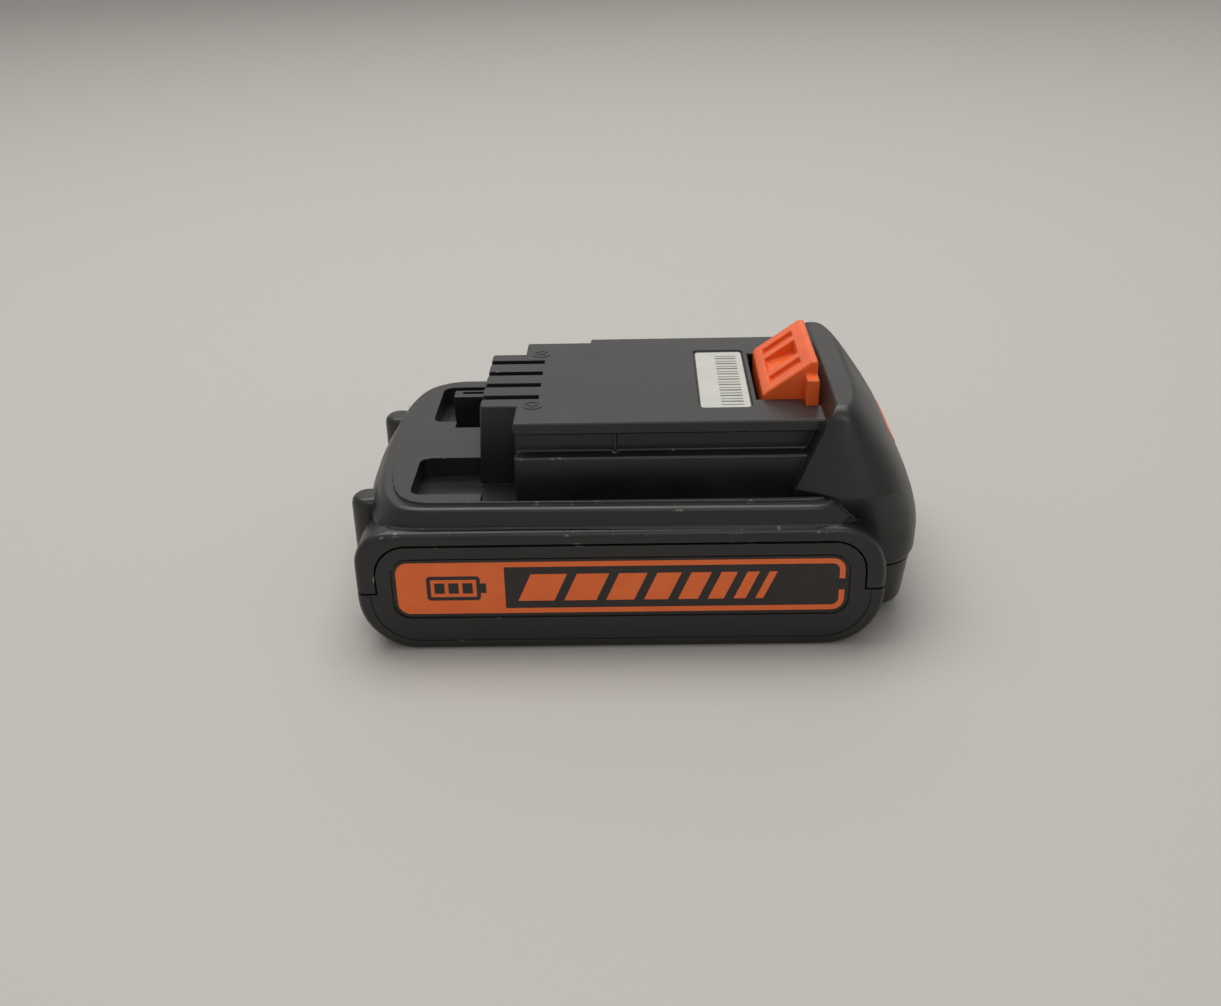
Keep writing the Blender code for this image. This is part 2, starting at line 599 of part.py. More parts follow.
def make_housings():
    deck = make_cutter("deck_form", deck_form())
    hump = make_cutter("hump_form", hump_form())
    bosses = [boss_form(x, y) for x, y in screw_places()[:2]]
    columns = [column(x, y) for x, y in screw_places()[2:]]
    screw_holes = [screw_cutter(x, y) for x, y in screw_places()]
    inside = round_rect(-BAY_LENGTH_HALF, FLOOR, BAY_LENGTH_HALF, CEILING, CHEEK_RADIUS - END_WALL)
    cell_bay = make_cutter("cell_bay", prism("cell_bay", "Y", inside, -BAY_HALF, BAY_HALF))
    bay_half = BUTTON_HALF + 2 * SLIDE
    latch_bay = make_cutter("latch_bay", prism("latch_bay", "Y", bay_outline(), -bay_half, bay_half))

    top = make_part("top_housing", cheek_form(), black_moulding)
    boolean(top, "UNION", deck)
    for side, inner in ((-1, TROUGH_INNER), (1, PIT_INNER)):
        boolean(top, "DIFFERENCE", *trough_cutters(side, inner))
    pit = box("pit_cutter", (PIT_STEP, PIT_STEP_INNER, TROUGH_Z),
              (SLOT_END, TROUGH_OUTER - SINK, DECK + SINK))
    boolean(top, "DIFFERENCE", make_cutter("pit_cutter", pit))
    rail = make_cutter("rail_form", prism("rail_form", "X", rail_outline(), PLATE_FRONT, HUMP_CREST))
    tower = make_cutter("tower_form", prism("tower_form", "Y", tower_outline(), -TOWER_HALF, TOWER_HALF))
    soften(rail, RAIL_EDGE)
    soften(tower, RAIL_EDGE)
    boolean(top, "UNION", hump, rail, tower, *bosses)
    for side in (-1, 1):
        rib = box("stop_rib", (STOP_RIB_X, side * CHANNEL_HALF - SINK, SHELF - SINK),
                  (STOP_RIB_X + STOP_RIB, side * CHANNEL_HALF + SINK, FLANGE_Z + SINK))
        boolean(top, "UNION", make_cutter("stop_rib", rib))
    notch = box("key_notch", (PLATE_FRONT - SINK, CHANNEL_HALF, FLANGE_Z - FIT),
                (KEY_NOTCH_END, PLATE_HALF + SINK, PLATE_TOP + SINK))
    boolean(top, "DIFFERENCE", make_cutter("key_notch", notch), cell_bay)
    room = box("contact_bay", (TOWER_FRONT + TOWER_WALL, TOWER_WALL - TOWER_HALF, CEILING - SINK),
               (WELL_FRONT - TOWER_WALL, TOWER_HALF - TOWER_WALL, ROOF))
    well = box("latch_well", (WELL_FRONT, -WELL_HALF, CEILING - SINK),
               (WINDOW_BACK + SLIDE, WELL_HALF, ROOF))
    window = prism("latch_window", "Z", window_outline(), ROOF - SINK, HUMP_TOP + SINK)
    press_half = BUTTON_HALF + SLIDE
    press = round_rect(-press_half, BUTTON_BOTTOM - SLIDE, press_half, BUTTON_TOP + SLIDE, BUTTON_CORNER, 4)
    button_hole = prism("button_hole", "X", press, HUMP_SHOULDER, BULGE_REACH)
    boolean(top, "UNION", *columns)
    boolean(top, "DIFFERENCE", make_cutter("contact_bay", room), make_cutter("latch_well", well),
            make_cutter("latch_window", window), latch_bay, make_cutter("button_hole", button_hole))
    for y in contact_places():
        slot = box("slot", (TOWER_FRONT - TOWER_LEAN - SINK, y - SLOT_WIDTH / 2, PLATE_TOP - SLOT_DEPTH),
                   (SLOT_END, y + SLOT_WIDTH / 2, PLATE_TOP + SINK))
        boolean(top, "DIFFERENCE", make_cutter("slot", slot))
    recess = prism("sticker_recess", "Z", sticker_outline(LABEL_MARGIN), PLATE_TOP - LABEL_RECESS,
                   PLATE_TOP + SINK)
    boolean(top, "DIFFERENCE", make_cutter("sticker_recess", recess))
    boolean(top, "DIFFERENCE", make_cutter("key_hole", key_box("key_hole", FIT, CEILING - SINK)))
    boolean(top, "DIFFERENCE", *screw_holes, lower_region(SEAM / 2))

    bottom = make_part("bottom_housing", cheek_form(), black_moulding)
    boolean(bottom, "UNION", deck, hump, *bosses)
    boolean(bottom, "DIFFERENCE", cell_bay, latch_bay)
    boolean(bottom, "UNION", *columns)
    recess = prism("label_recess", "Y", label_outline(LABEL_MARGIN), -HALF_WIDTH - SINK,
                   LABEL_RECESS - HALF_WIDTH)
    boolean(bottom, "DIFFERENCE", make_cutter("label_recess", recess), *screw_holes)
    boolean(bottom, "INTERSECT", lower_region(-SEAM / 2))
    post = box("spring_post", (SPRING_X - SEAT_HALF, -SEAT_HALF, FLOOR - SINK),
               (SPRING_X + SEAT_HALF, SEAT_HALF, SEAT_TOP))
    boolean(bottom, "UNION", make_cutter("spring_post", post))


# The latch

def ramp_z(x):
    """Height of the latch's ramp, which climbs from the nose to the land at its peak."""
    start = LATCH_FRONT + NOSE_LENGTH
    low = NOSE_RISE + NOSE_HEIGHT
    climb = (LATCH_PEAK - low) / (LATCH_BACK - LAND - start)
    return PLATE_TOP + low + climb * (x - start)


def latch_profile():
    foot = ROOF - FIT - LIP_THICKNESS
    land = LATCH_BACK - LAND
    nose = LATCH_FRONT + NOSE_LENGTH
    low = PLATE_TOP + NOSE_RISE
    middle = (LATCH_FRONT + NOSE_LENGTH / 3, low + NOSE_HEIGHT / 2)
    return [(LATCH_FRONT, foot), (LATCH_BACK, foot), (LATCH_BACK, ramp_z(land)), (land, ramp_z(land)),
            (nose, ramp_z(nose)), middle, (LATCH_FRONT, low)]


def pocket_profile(depth):
    """A recess in the ramp: it runs out at the nose and is deepest at its upright back wall."""
    front = LATCH_FRONT + POCKET_START
    full = front + POCKET_LEAD
    back = LATCH_BACK - POCKET_BACK
    return [(front, ramp_z(front) + SINK), (full, ramp_z(full) - GROOVE_DEPTH), (back, ramp_z(back) - depth),
            (back, ramp_z(back) + SINK)]


def button_sill():
    """The furthest back that the press face can be and still pass inside the wall below its window."""
    return slope_x(BUTTON_BOTTOM - SLIDE) - REAR_WALL - SLIDE


def button_profile():
    sill = button_sill()
    start = BUTTON_BOTTOM + STROKE
    face = []
    for step in range(BUTTON_STEPS + 1):
        height = start + (BUTTON_TOP - start) * step / BUTTON_STEPS
        proud = BUTTON_PROUD * (1 - step / BUTTON_STEPS)
        face.append((min(sill, slope_x(height) + proud), height))
    inner = sill - BUTTON_THICKNESS
    return [(inner, BUTTON_BOTTOM), (sill, BUTTON_BOTTOM)] + face + [(inner - BUTTON_THICKNESS, BUTTON_TOP)]


def make_latch():
    wedge = prism("release_latch", "Y", latch_profile(), -LATCH_HALF, LATCH_HALF)
    latch = make_part("release_latch", wedge, orange_moulding)
    soften(latch, NOSE_SOFT)
    pockets = [(-POCKET_HALF, POCKET_HALF, POCKET_DEPTH)]
    for side in (-1, 1):
        middle = side * GROOVE_SIDE
        pockets.append((middle - GROOVE_WIDTH / 2, middle + GROOVE_WIDTH / 2, GROOVE_DEPTH))
    for low, high, depth in pockets:
        pocket = prism("latch_pocket", "Y", pocket_profile(depth), low, high)
        boolean(latch, "DIFFERENCE", make_cutter("latch_pocket", pocket))
    lip_top = ROOF - FIT
    lip = box("latch_lip", (LATCH_FRONT + LIP_WIDTH, -LIP_HALF, lip_top - LIP_THICKNESS),
              (LATCH_BACK, LIP_HALF, lip_top))
    ears = []
    for side in (-1, 1):
        span = sorted((side * (LATCH_HALF - SINK), side * (LATCH_HALF + EAR_WIDTH)))
        low = (LATCH_BACK - EAR_LENGTH, span[0], lip_top - LIP_THICKNESS / 2)
        high = (LATCH_BACK, span[1], PLATE_TOP + LATCH_PEAK - EAR_DROP)
        ear = make_cutter("latch_ear", box("latch_ear", low, high))
        soften(ear, NOSE_SOFT)
        ears.append(ear)
    neck = box("latch_neck", (LATCH_BACK - ARM_NECK, -ARM_HALF, ARM_BOTTOM),
               (LATCH_BACK, ARM_HALF, lip_top - LIP_THICKNESS / 2))
    arm = box("latch_arm", (LATCH_BACK - ARM_NECK / 2, -ARM_HALF, ARM_BOTTOM),
              (button_sill() - BUTTON_THICKNESS + SINK, ARM_HALF, ARM_BOTTOM + ARM_HEIGHT))
    press = prism("latch_button", "Y", button_profile(), -BUTTON_HALF, BUTTON_HALF)
    button = make_cutter("latch_button", press)
    soften(button, BUTTON_EDGE)
    boolean(latch, "UNION", make_cutter("latch_lip", lip), *ears, make_cutter("latch_neck", neck),
            make_cutter("latch_arm", arm), button)
    axis = Vector((SPRING_X, 0.0, ARM_BOTTOM))
    guide = bpy.data.objects.new("latch_slide", None)
    guide.location = axis
    parts.objects.link(guide)
    latch.parent = guide
    latch.matrix_parent_inverse = Matrix.Translation(-axis)


def make_spring():
    """Compression coil with its end turns closed up, from the seat to the latch's arm."""
    bottom = SEAT_TOP + FIT + SPRING_WIRE / 2
    top = ARM_BOTTOM - FIT - SPRING_WIRE / 2
    count = SPRING_COILS * COIL_STEPS
    points = []
    for step in range(count + 1):
        angle = math.tau * step / COIL_STEPS
        height = bottom + (top - bottom) * step / count
        points.append(Vector((SPRING_RADIUS * math.cos(angle), SPRING_RADIUS * math.sin(angle), height)))
    least = min((points[a] - points[b]).length for a in range(len(points))
                for b in range(a + COIL_STEPS // 2, len(points)))
    print(f"latch_spring: least gap to itself {1000 * (least - SPRING_WIRE):.2f} mm")
    curve = bpy.data.curves.new("latch_spring", "CURVE")
    curve.dimensions = "3D"
    curve.bevel_depth = SPRING_WIRE / 2
    curve.bevel_resolution = 1
    curve.use_fill_caps = True
    curve.materials.append(spring_steel)
    spline = curve.splines.new("POLY")
    spline.points.add(count)
    for control, point in zip(spline.points, points):
        control.co = (*point, 1.0)
    spring = bpy.data.objects.new("latch_spring", curve)
    spring.location = (SPRING_X, 0.0, 0.0)
    parts.objects.link(spring)


# What is inside

def cell_places():
    return [index * CELL_PITCH - CELL_ROW for index in range(CELL_COUNT)]


def make_cells():
    half = CELL_LENGTH / 2
    radius = CELL_RADIUS - SLEEVE - SKIN
    crimp = CAN_EDGE * 2
    profile = [(CAP_RADIUS, half), (CAP_RADIUS, half - CAN_EDGE), (radius - CAN_EDGE, half - CAN_EDGE)]
    profile += [(radius, half - crimp), (radius, CAN_EDGE - half), (radius - CAN_EDGE, -half)]
    can = turned("cell_can", profile)
    wrap = circle(0.0, 0.0, CELL_RADIUS)
    bore = circle(0.0, 0.0, CELL_RADIUS - SLEEVE)
    reach = half - crimp
    rings = [spread("Z", -reach, bore), spread("Z", -reach, wrap)]
    sleeve = tube("cell_sleeve", rings + [spread("Z", reach, wrap), spread("Z", reach, bore)])
    for index, x in enumerate(cell_places()):
        turn = math.radians(90 if index % 2 else -90)
        for name, mesh, material in (("cell", can, nickel_steel), ("cell_sleeve", sleeve, sleeve_film)):
            piece = make_part(f"{name}_{index + 1}", mesh, material)
            piece.location = (x, 0.0, CELL_Z)
            piece.rotation_euler = (turn, 0.0, 0.0)


def strip_spans(side):
    """Cells that each strip joins, on this side of the row: single strips at the two ends of the chain."""
    if side < 0:
        return [(0, 0)] + [(i, i + 1) for i in range(1, CELL_COUNT - 1, 2)]
    return [(i, i + 1) for i in range(0, CELL_COUNT - 1, 2)] + [(CELL_COUNT - 1, CELL_COUNT - 1)]


def strip_outline(span, margin):
    places = cell_places()
    half = STRIP_WIDTH / 2 + margin
    start = places[span[0]] - half
    stop = places[span[1]] + half
    return round_rect(start, CELL_Z - half, stop, CELL_Z + half, half / 2, 3)


def make_holders_and_strips():
    low_z = CELL_Z - CELL_RADIUS + HOLDER_TRIM
    high_z = CELL_Z + CELL_RADIUS - HOLDER_TRIM
    number = 1
    for side, holder_name, sheet_name in ((-1, "cell_holder_near", "insulator_near"),
                                          (1, "cell_holder_far", "insulator_far")):
        start, stop = sorted((side * (PLATE_OUT - HOLDER_DEPTH), side * PLATE_OUT))
        outline = round_rect(-HOLDER_HALF, low_z, HOLDER_HALF, high_z, HOLDER_ROUND, 4)
        holder = make_part(holder_name, prism(holder_name, "Y", outline, start, stop), holder_plastic)
        post_start = PLATE_OUT - HOLDER_DEPTH + SINK
        post_span = sorted((side * post_start, side * (post_start + POST_SIZE)))
        for x in (CELL_PITCH / 2 - CELL_ROW, CELL_ROW - CELL_PITCH / 2):
            post = box("board_post", (x - POST_SIZE / 2, post_span[0], CELL_Z),
                       (x + POST_SIZE / 2, post_span[1], BOARD_BOTTOM - FIT))
            boolean(holder, "UNION", make_cutter("board_post", post))
        pocket_span = sorted((side * (PLATE_OUT - HOLDER_DEPTH - SINK), side * PLATE_IN))
        for x in cell_places():
            pocket = prism("cell_pocket", "Y", circle(x, CELL_Z, CELL_RADIUS + FIT), *pocket_span)
            boolean(holder, "DIFFERENCE", make_cutter("cell_pocket", pocket))
        for span in strip_spans(side):
            reach = sorted((side * (PLATE_IN - SINK), side * (PLATE_OUT + SINK)))
            gap = make_cutter("strip_gap", prism("strip_gap", "Y", strip_outline(span, FIT), *reach))
            left = cell_places()[span[0]] - TAB_WIDTH / 2
            right = left + TAB_WIDTH
            way = box("tab_gap", (left - FIT, reach[0], CELL_Z), (right + FIT, reach[1], high_z + SINK))
            boolean(holder, "DIFFERENCE", gap, make_cutter("tab_gap", way))
            face = sorted((side * PLATE_IN, side * (PLATE_IN + STRIP_THICKNESS)))
            band = prism("bus_strip", "Y", strip_outline(span, 0.0), *face)
            strip = make_part(f"bus_strip_{number}", band, nickel_strip)
            tab_top = TAB_BOTTOM + STRIP_THICKNESS
            riser = box("strip_riser", (left, face[0], CELL_Z), (right, face[1], tab_top))
            over = sorted((side * (BOARD_WIDTH / 2 - TAB_REACH), side * (PLATE_IN + STRIP_THICKNESS)))
            tab = box("strip_tab", (left, over[0], TAB_BOTTOM), (right, over[1], tab_top))
            boolean(strip, "UNION", make_cutter("strip_riser", riser), make_cutter("strip_tab", tab))
            number += 1
        face = sorted((side * SHEET_IN, side * (SHEET_IN + INSULATOR)))
        make_part(sheet_name, prism(sheet_name, "Y", outline, *face), insulator_paper)


def make_electronics():
    long_half = BOARD_LENGTH / 2
    wide_half = BOARD_WIDTH / 2
    outline = round_rect(-long_half, -wide_half, long_half, wide_half, BOARD_CORNER, 3)
    make_part("circuit_board", prism("circuit_board", "Z", outline, BOARD_BOTTOM, BOARD_TOP), board_laminate)
    chip_half = CHIP_SIZE / 2
    chip_bottom = BOARD_TOP + FIT
    chip = box("control_chip", (-chip_half, -chip_half, chip_bottom),
               (chip_half, chip_half, chip_bottom + CHIP_HEIGHT))
    make_part("control_chip", chip, chip_resin)
    bead_z = CELL_Z + CELL_RADIUS + FIT + BEAD_RADIUS
    bead_half = BEAD_LENGTH / 2
    bead = prism("temperature_bead", "Y", circle(0.0, bead_z, BEAD_RADIUS, 12), -bead_half, bead_half)
    make_part("temperature_bead", bead, chip_resin)
    half = TOWER_HALF - TOWER_WALL - FIT
    bottom = BOARD_TOP + FIT
    front = TOWER_FRONT + TOWER_WALL + FIT
    low = (front, -half, bottom)
    high = (CONTACT_BACK + TOWER_WALL, half, bottom + BLOCK_HEIGHT)
    block = make_part("terminal_block", box("terminal_block", low, high), black_moulding)
    foot_half = CONTACT_GAP / 2 + CONTACT_LEAF
    tip = PLATE_TOP - CONTACT_DROP
    for index, y in enumerate(contact_places()):
        pocket = box("contact_pocket", (CONTACT_FRONT - FIT, y - foot_half - FIT, bottom - SINK),
                     (CONTACT_BACK + FIT, y + foot_half + FIT, bottom + BLOCK_HEIGHT + SINK))
        boolean(block, "DIFFERENCE", make_cutter("contact_pocket", pocket))
        gap = CONTACT_GAP / 2
        half_clip = [(foot_half, bottom), (foot_half, tip), (gap, tip), (gap, bottom + CONTACT_LEAF)]
        clip = [(y + u, z) for u, z in half_clip] + [(y - u, z) for u, z in reversed(half_clip)]
        leaf = prism("contact_clip", "X", clip, CONTACT_FRONT, CONTACT_BACK)
        make_part(f"contact_clip_{index + 1}", leaf, contact_bronze)
    key = make_part("sense_connector", key_box("sense_connector", 0.0, BOARD_TOP + FIT), black_moulding)
    middle = KEY_SIDE + KEY_SLIT_SIDE
    key_top = DECK + KEY_RISE
    slit = box("key_slit", (KEY_FRONT + KEY_SLIT_START, middle - KEY_SLIT / 2, key_top - KEY_SLIT_DEPTH),
               (KEY_FRONT + KEY_LENGTH + SINK, middle + KEY_SLIT / 2, key_top + SINK))
    boolean(key, "DIFFERENCE", make_cutter("key_slit", slit))


def make_screws():
    seat = SCREW_DEPTH
    face = seat - SCREW_HEAD_HEIGHT
    tip = seat + SCREW_LENGTH
    profile = [(SCREW_TIP, tip), (SCREW_SHANK, tip - SCREW_SHANK), (SCREW_SHANK, seat), (SCREW_HEAD, seat)]
    profile += [(SCREW_HEAD, face + SCREW_HEAD_EDGE), (SCREW_HEAD - SCREW_HEAD_EDGE, face)]
    profile += [(SCREW_SOCKET, face), (SCREW_SOCKET, face + SCREW_SOCKET_DEPTH)]
    mesh = turned("housing_screw", profile, 16)
    for index, (x, y) in enumerate(screw_places()):
        screw = make_part(f"housing_screw_{index + 1}", mesh, zinc_steel)
        screw.location = (x, y, 0.0)


def make_labels():
    back = LABEL_RECESS - HALF_WIDTH - SKIN
    film = prism("side_label_near", "Y", label_outline(0.0), back - LABEL_THICKNESS, back)
    make_part("side_label_near", film, label_film)
    bottom = PLATE_TOP - LABEL_RECESS + SKIN
    sticker = prism("serial_sticker", "Z", sticker_outline(0.0), bottom, bottom + LABEL_THICKNESS)
    make_part("serial_sticker", sticker, white_film)


for old in list(bpy.data.objects):
    bpy.data.objects.remove(old, do_unlink=True)

parts = make_collection("tool_battery_pack")
cutters = make_collection("cutters")

black_moulding = make_material("black glass-filled nylon", (0.018, 0.017, 0.016), 0.48)
orange_moulding = make_material("orange acetal", (0.80, 0.12, 0.022), 0.42)
spring_steel = make_material("spring steel", (0.55, 0.55, 0.56), 0.30, 1.0)
nickel_steel = make_material("nickel-plated steel", (0.66, 0.64, 0.60), 0.28, 1.0)
nickel_strip = make_material("nickel strip", (0.62, 0.60, 0.55), 0.35, 1.0)
zinc_steel = make_material("zinc-plated steel", (0.45, 0.45, 0.46), 0.35, 1.0)
contact_bronze = make_material("tinned bronze", (0.70, 0.58, 0.38), 0.32, 1.0)
sleeve_film = make_material("shrink sleeve", (0.05, 0.20, 0.42), 0.40)
holder_plastic = make_material("holder plastic", (0.05, 0.05, 0.05), 0.55)
insulator_paper = make_material("fish paper", (0.24, 0.20, 0.13), 0.80)
board_laminate = make_material("glass-epoxy laminate", (0.02, 0.14, 0.06), 0.45)
chip_resin = make_material("moulding resin", (0.03, 0.03, 0.03), 0.50)
label_film = make_material("printed label film", (0.034, 0.024, 0.023), 0.45)
white_film = make_material("white label film", (0.68, 0.68, 0.63), 0.50)

make_housings()
make_latch()
make_spring()
make_cells()
make_holders_and_strips()
make_electronics()
make_screws()
make_labels()
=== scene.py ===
import json
import math
from types import SimpleNamespace

import bmesh
import bpy
from mathutils import Matrix, Vector

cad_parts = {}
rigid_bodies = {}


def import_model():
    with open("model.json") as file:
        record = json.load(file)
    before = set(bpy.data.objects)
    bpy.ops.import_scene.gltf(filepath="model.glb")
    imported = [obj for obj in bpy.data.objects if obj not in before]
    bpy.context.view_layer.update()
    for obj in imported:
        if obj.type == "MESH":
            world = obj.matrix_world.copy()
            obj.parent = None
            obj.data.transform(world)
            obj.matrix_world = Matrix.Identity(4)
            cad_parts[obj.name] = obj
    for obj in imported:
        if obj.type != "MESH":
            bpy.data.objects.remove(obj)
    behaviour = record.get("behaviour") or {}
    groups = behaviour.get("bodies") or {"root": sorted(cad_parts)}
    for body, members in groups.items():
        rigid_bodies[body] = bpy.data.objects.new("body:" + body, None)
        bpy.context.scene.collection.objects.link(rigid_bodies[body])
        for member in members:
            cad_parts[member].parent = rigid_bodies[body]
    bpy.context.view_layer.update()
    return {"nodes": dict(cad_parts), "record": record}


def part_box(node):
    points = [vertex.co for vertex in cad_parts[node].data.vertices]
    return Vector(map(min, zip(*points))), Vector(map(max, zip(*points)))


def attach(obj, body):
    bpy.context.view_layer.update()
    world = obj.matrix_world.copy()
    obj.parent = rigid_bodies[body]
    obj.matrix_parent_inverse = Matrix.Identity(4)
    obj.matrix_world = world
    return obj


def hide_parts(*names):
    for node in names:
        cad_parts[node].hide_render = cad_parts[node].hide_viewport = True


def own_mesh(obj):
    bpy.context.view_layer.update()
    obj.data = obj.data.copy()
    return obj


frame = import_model()
mm = 0.001


def linear(hexText):
    # sRGB hex to the linear values that the shader sockets take
    parts = [int(hexText[i:i + 2], 16) / 255 for i in (1, 3, 5)]
    return tuple(p / 12.92 if p <= 0.04045 else ((p + 0.055) / 1.055) ** 2.4 for p in parts) + (1.0,)


def plug(tree, node, values, links):
    for socket, value in values.items():
        node.inputs[socket].default_value = value
    for socket, source in links.items():
        tree.links.new(source, node.inputs[socket])


def addNode(tree, kind, settings=None, values=None, links=None, stops=()):
    # one node: its own settings, values for its sockets, links into them, a ramp's (position, colour) stops
    node = tree.nodes.new("ShaderNode" + kind)
    for name, value in (settings or {}).items():
        setattr(node, name, value)
    for index, (position, colour) in enumerate(stops):
        node.color_ramp.elements[index].position = position
        node.color_ramp.elements[index].color = linear(colour)
    plug(tree, node, values or {}, links or {})
    return node


def newMaterial(name):
    made = bpy.data.materials.new(name)
    made.use_nodes = True
    return made, made.node_tree, made.node_tree.nodes["Principled BSDF"]


# camera: fitted to the photograph's straight edges
photoView = {
    "wide": 1221,
    "focal": 1342.42,  # pixels
    "pitch": 26.41,
    "yaw": -1.5,
    "roll": 1.44,
    "place": (4.72 * mm, -274.25 * mm, 151.28 * mm),
    "sensor": 36,
    "clip": 5 * mm,
}


def makeCamera(look):
    pitch, yaw, roll = (math.radians(look[k]) for k in ("pitch", "yaw", "roll"))
    ahead = Vector((math.sin(yaw) * math.cos(pitch), math.cos(yaw) * math.cos(pitch), -math.sin(pitch)))
    right = Vector((math.cos(yaw), -math.sin(yaw), 0))
    down = ahead.cross(right)
    across = math.cos(roll) * right + math.sin(roll) * down
    under = math.cos(roll) * down - math.sin(roll) * right
    data = bpy.data.cameras.new("photoCamera")
    data.sensor_width = look["sensor"]
    data.lens = look["focal"] / look["wide"] * look["sensor"]
    data.clip_start = look["clip"]
    camera = bpy.data.objects.new("photoCamera", data)
    camera.matrix_world = Matrix((across, -under, -ahead)).transposed().to_4x4()
    camera.matrix_world.translation = Vector(look["place"])
    bpy.context.scene.collection.objects.link(camera)
    bpy.context.scene.camera = camera


makeCamera(photoView)
bpy.context.scene.view_settings.view_transform = "Standard"
print("camera set")

# room: a pale bench, an even pale surround and wide soft lamps overhead, behind and in front
room = {
    "surround": "#b6b4b2",
    "surroundLevel": 0.84,
    "bench": "#b4b1ab",
    "benchRoughness": 0.6,
    "benchSize": 6.0,
    "lamps": {
        "topLamp": {"place": (-0.10, 0.25, 1.00), "size": (1.1, 0.7), "power": 9.0},
        "backLamp": {"place": (-0.05, 1.00, 0.55), "size": (1.3, 0.5), "power": 0.8},
        "frontLamp": {"place": (0.25, -0.9, 0.9), "size": (0.6, 0.5), "power": 1.8},
    },
}


def makeRoom(look):
    world = bpy.data.worlds.new("paleRoom")
    world.use_nodes = True
    bpy.context.scene.world = world
    light = {"Color": linear(look["surround"]), "Strength": look["surroundLevel"]}
    plug(world.node_tree, world.node_tree.nodes["Background"], light, {})
    for name, spec in look["lamps"].items():
        data = bpy.data.lights.new(name, "AREA")
        data.shape = "RECTANGLE"
        data.size, data.size_y = spec["size"]
        data.energy = spec["power"]
        lamp = bpy.data.objects.new(name, data)
        lamp.location = spec["place"]
        lamp.rotation_euler = (-Vector(spec["place"])).to_track_quat("-Z", "Y").to_euler()
        bpy.context.scene.collection.objects.link(lamp)
    bm = bmesh.new()
    bmesh.ops.create_grid(bm, x_segments=1, y_segments=1, size=look["benchSize"] / 2)
    mesh = bpy.data.meshes.new("bench")
    bm.to_mesh(mesh)
    bm.free()
    bench = bpy.data.objects.new("bench", mesh)
    bpy.context.scene.collection.objects.link(bench)
    made, tree, shader = newMaterial("painted bench top")
    plug(tree, shader, {"Base Color": linear(look["bench"]), "Roughness": look["benchRoughness"]}, {})
    mesh.materials.append(made)


makeRoom(room)
print("room lit")

# glass-filled nylon, moulded in a spark-eroded tool: satin black with a fine even grain,
# edges polished lighter by handling and a few pale scuffs
blackNylon = {
    "colours": ((0.35, "#191817"), (0.7, "#1f1e1c")),  # over the clouds
    "scuff": "#8d8a86",
    "chips": ((0.62, "#000000"), (0.72, "#ffffff")),  # only the peaks of the chips leave a scuff
    "chip": {"Scale": 1 / (3.5 * mm), "Detail": 6.0, "Roughness": 0.65},
    "cloud": {"Scale": 1 / (14 * mm), "Detail": 4.0},
    "grain": {"Scale": 1 / (0.28 * mm), "Detail": 2.0},  # about twice the real grain, so that it shows
    "relief": {"Strength": 0.6, "Distance": 0.012 * mm},
    "gloss": {"From Min": 0.3, "From Max": 0.7, "To Min": 0.33, "To Max": 0.43},
    "ior": 1.53,
}
mixColours = {"first": 6, "second": 7, "result": 2}  # the Mix node's sockets for colours


def makeBlackNylon(look):
    made, tree, shader = newMaterial("glass-filled nylon, spark-eroded")
    place = {"Vector": addNode(tree, "TexCoord").outputs["Object"]}
    grain = addNode(tree, "TexNoise", values=look["grain"], links=place).outputs["Fac"]
    cloud = addNode(tree, "TexNoise", values=look["cloud"], links=place).outputs["Fac"]
    chips = addNode(tree, "TexNoise", values=look["chip"], links=place).outputs["Fac"]
    body = addNode(tree, "ValToRGB", links={"Fac": cloud}, stops=look["colours"]).outputs["Color"]
    chipped = addNode(tree, "ValToRGB", links={"Fac": chips}, stops=look["chips"]).outputs["Color"]
    edge = addNode(tree, "Attribute", {"attribute_name": "edgeWear"}).outputs["Fac"]
    scuff = addNode(tree, "Math", {"operation": "MULTIPLY"}, links={0: edge, 1: chipped}).outputs["Value"]
    shade = addNode(tree, "Mix", {"data_type": "RGBA"}, {mixColours["second"]: linear(look["scuff"])},
                    {"Factor": scuff, mixColours["first"]: body})
    gloss = addNode(tree, "MapRange", values=look["gloss"], links={"Value": cloud})
    bump = addNode(tree, "Bump", values=look["relief"], links={"Height": grain})
    plug(tree, shader, {"IOR": look["ior"]},
         {"Base Color": shade.outputs[mixColours["result"]], "Roughness": gloss.outputs["Result"],
          "Normal": bump.outputs["Normal"]})
    return made


# acetal, moulded: even orange with a soft gloss
orangeAcetal = {
    "cloud": {"Scale": 1 / (6 * mm), "Detail": 3.0},
    "grain": {"Scale": 1 / (0.3 * mm), "Detail": 2.0},
    "relief": {"Strength": 0.5, "Distance": 0.006 * mm},
    "stops": (0.35, 0.65),
}

# films, inks and what sits inside the housing: nearly even colour with faint clouds and a fine grain
evenFinish = {
    "cloud": {"Scale": 1 / (4 * mm), "Detail": 4.0},
    "grain": {"Scale": 1 / (0.25 * mm), "Detail": 2.0},
    "relief": {"Strength": 0.4, "Distance": 0.006 * mm},
    "stops": (0.35, 0.65),
}


def makeFinish(look, name, first, second, roughness, metallic, **more):
    made, tree, shader = newMaterial(name)
    place = {"Vector": addNode(tree, "TexCoord").outputs["Object"]}
    cloud = addNode(tree, "TexNoise", values=look["cloud"], links=place)
    body = addNode(tree, "ValToRGB", links={"Fac": cloud.outputs["Fac"]},
                   stops=zip(look["stops"], (first, second)))
    grain = addNode(tree, "TexNoise", values=look["grain"], links=place)
    bump = addNode(tree, "Bump", values=look["relief"], links={"Height": grain.outputs["Fac"]})
    plug(tree, shader, {"Roughness": roughness, "Metallic": metallic, **more},
         {"Base Color": body.outputs["Color"], "Normal": bump.outputs["Normal"]})
    return made


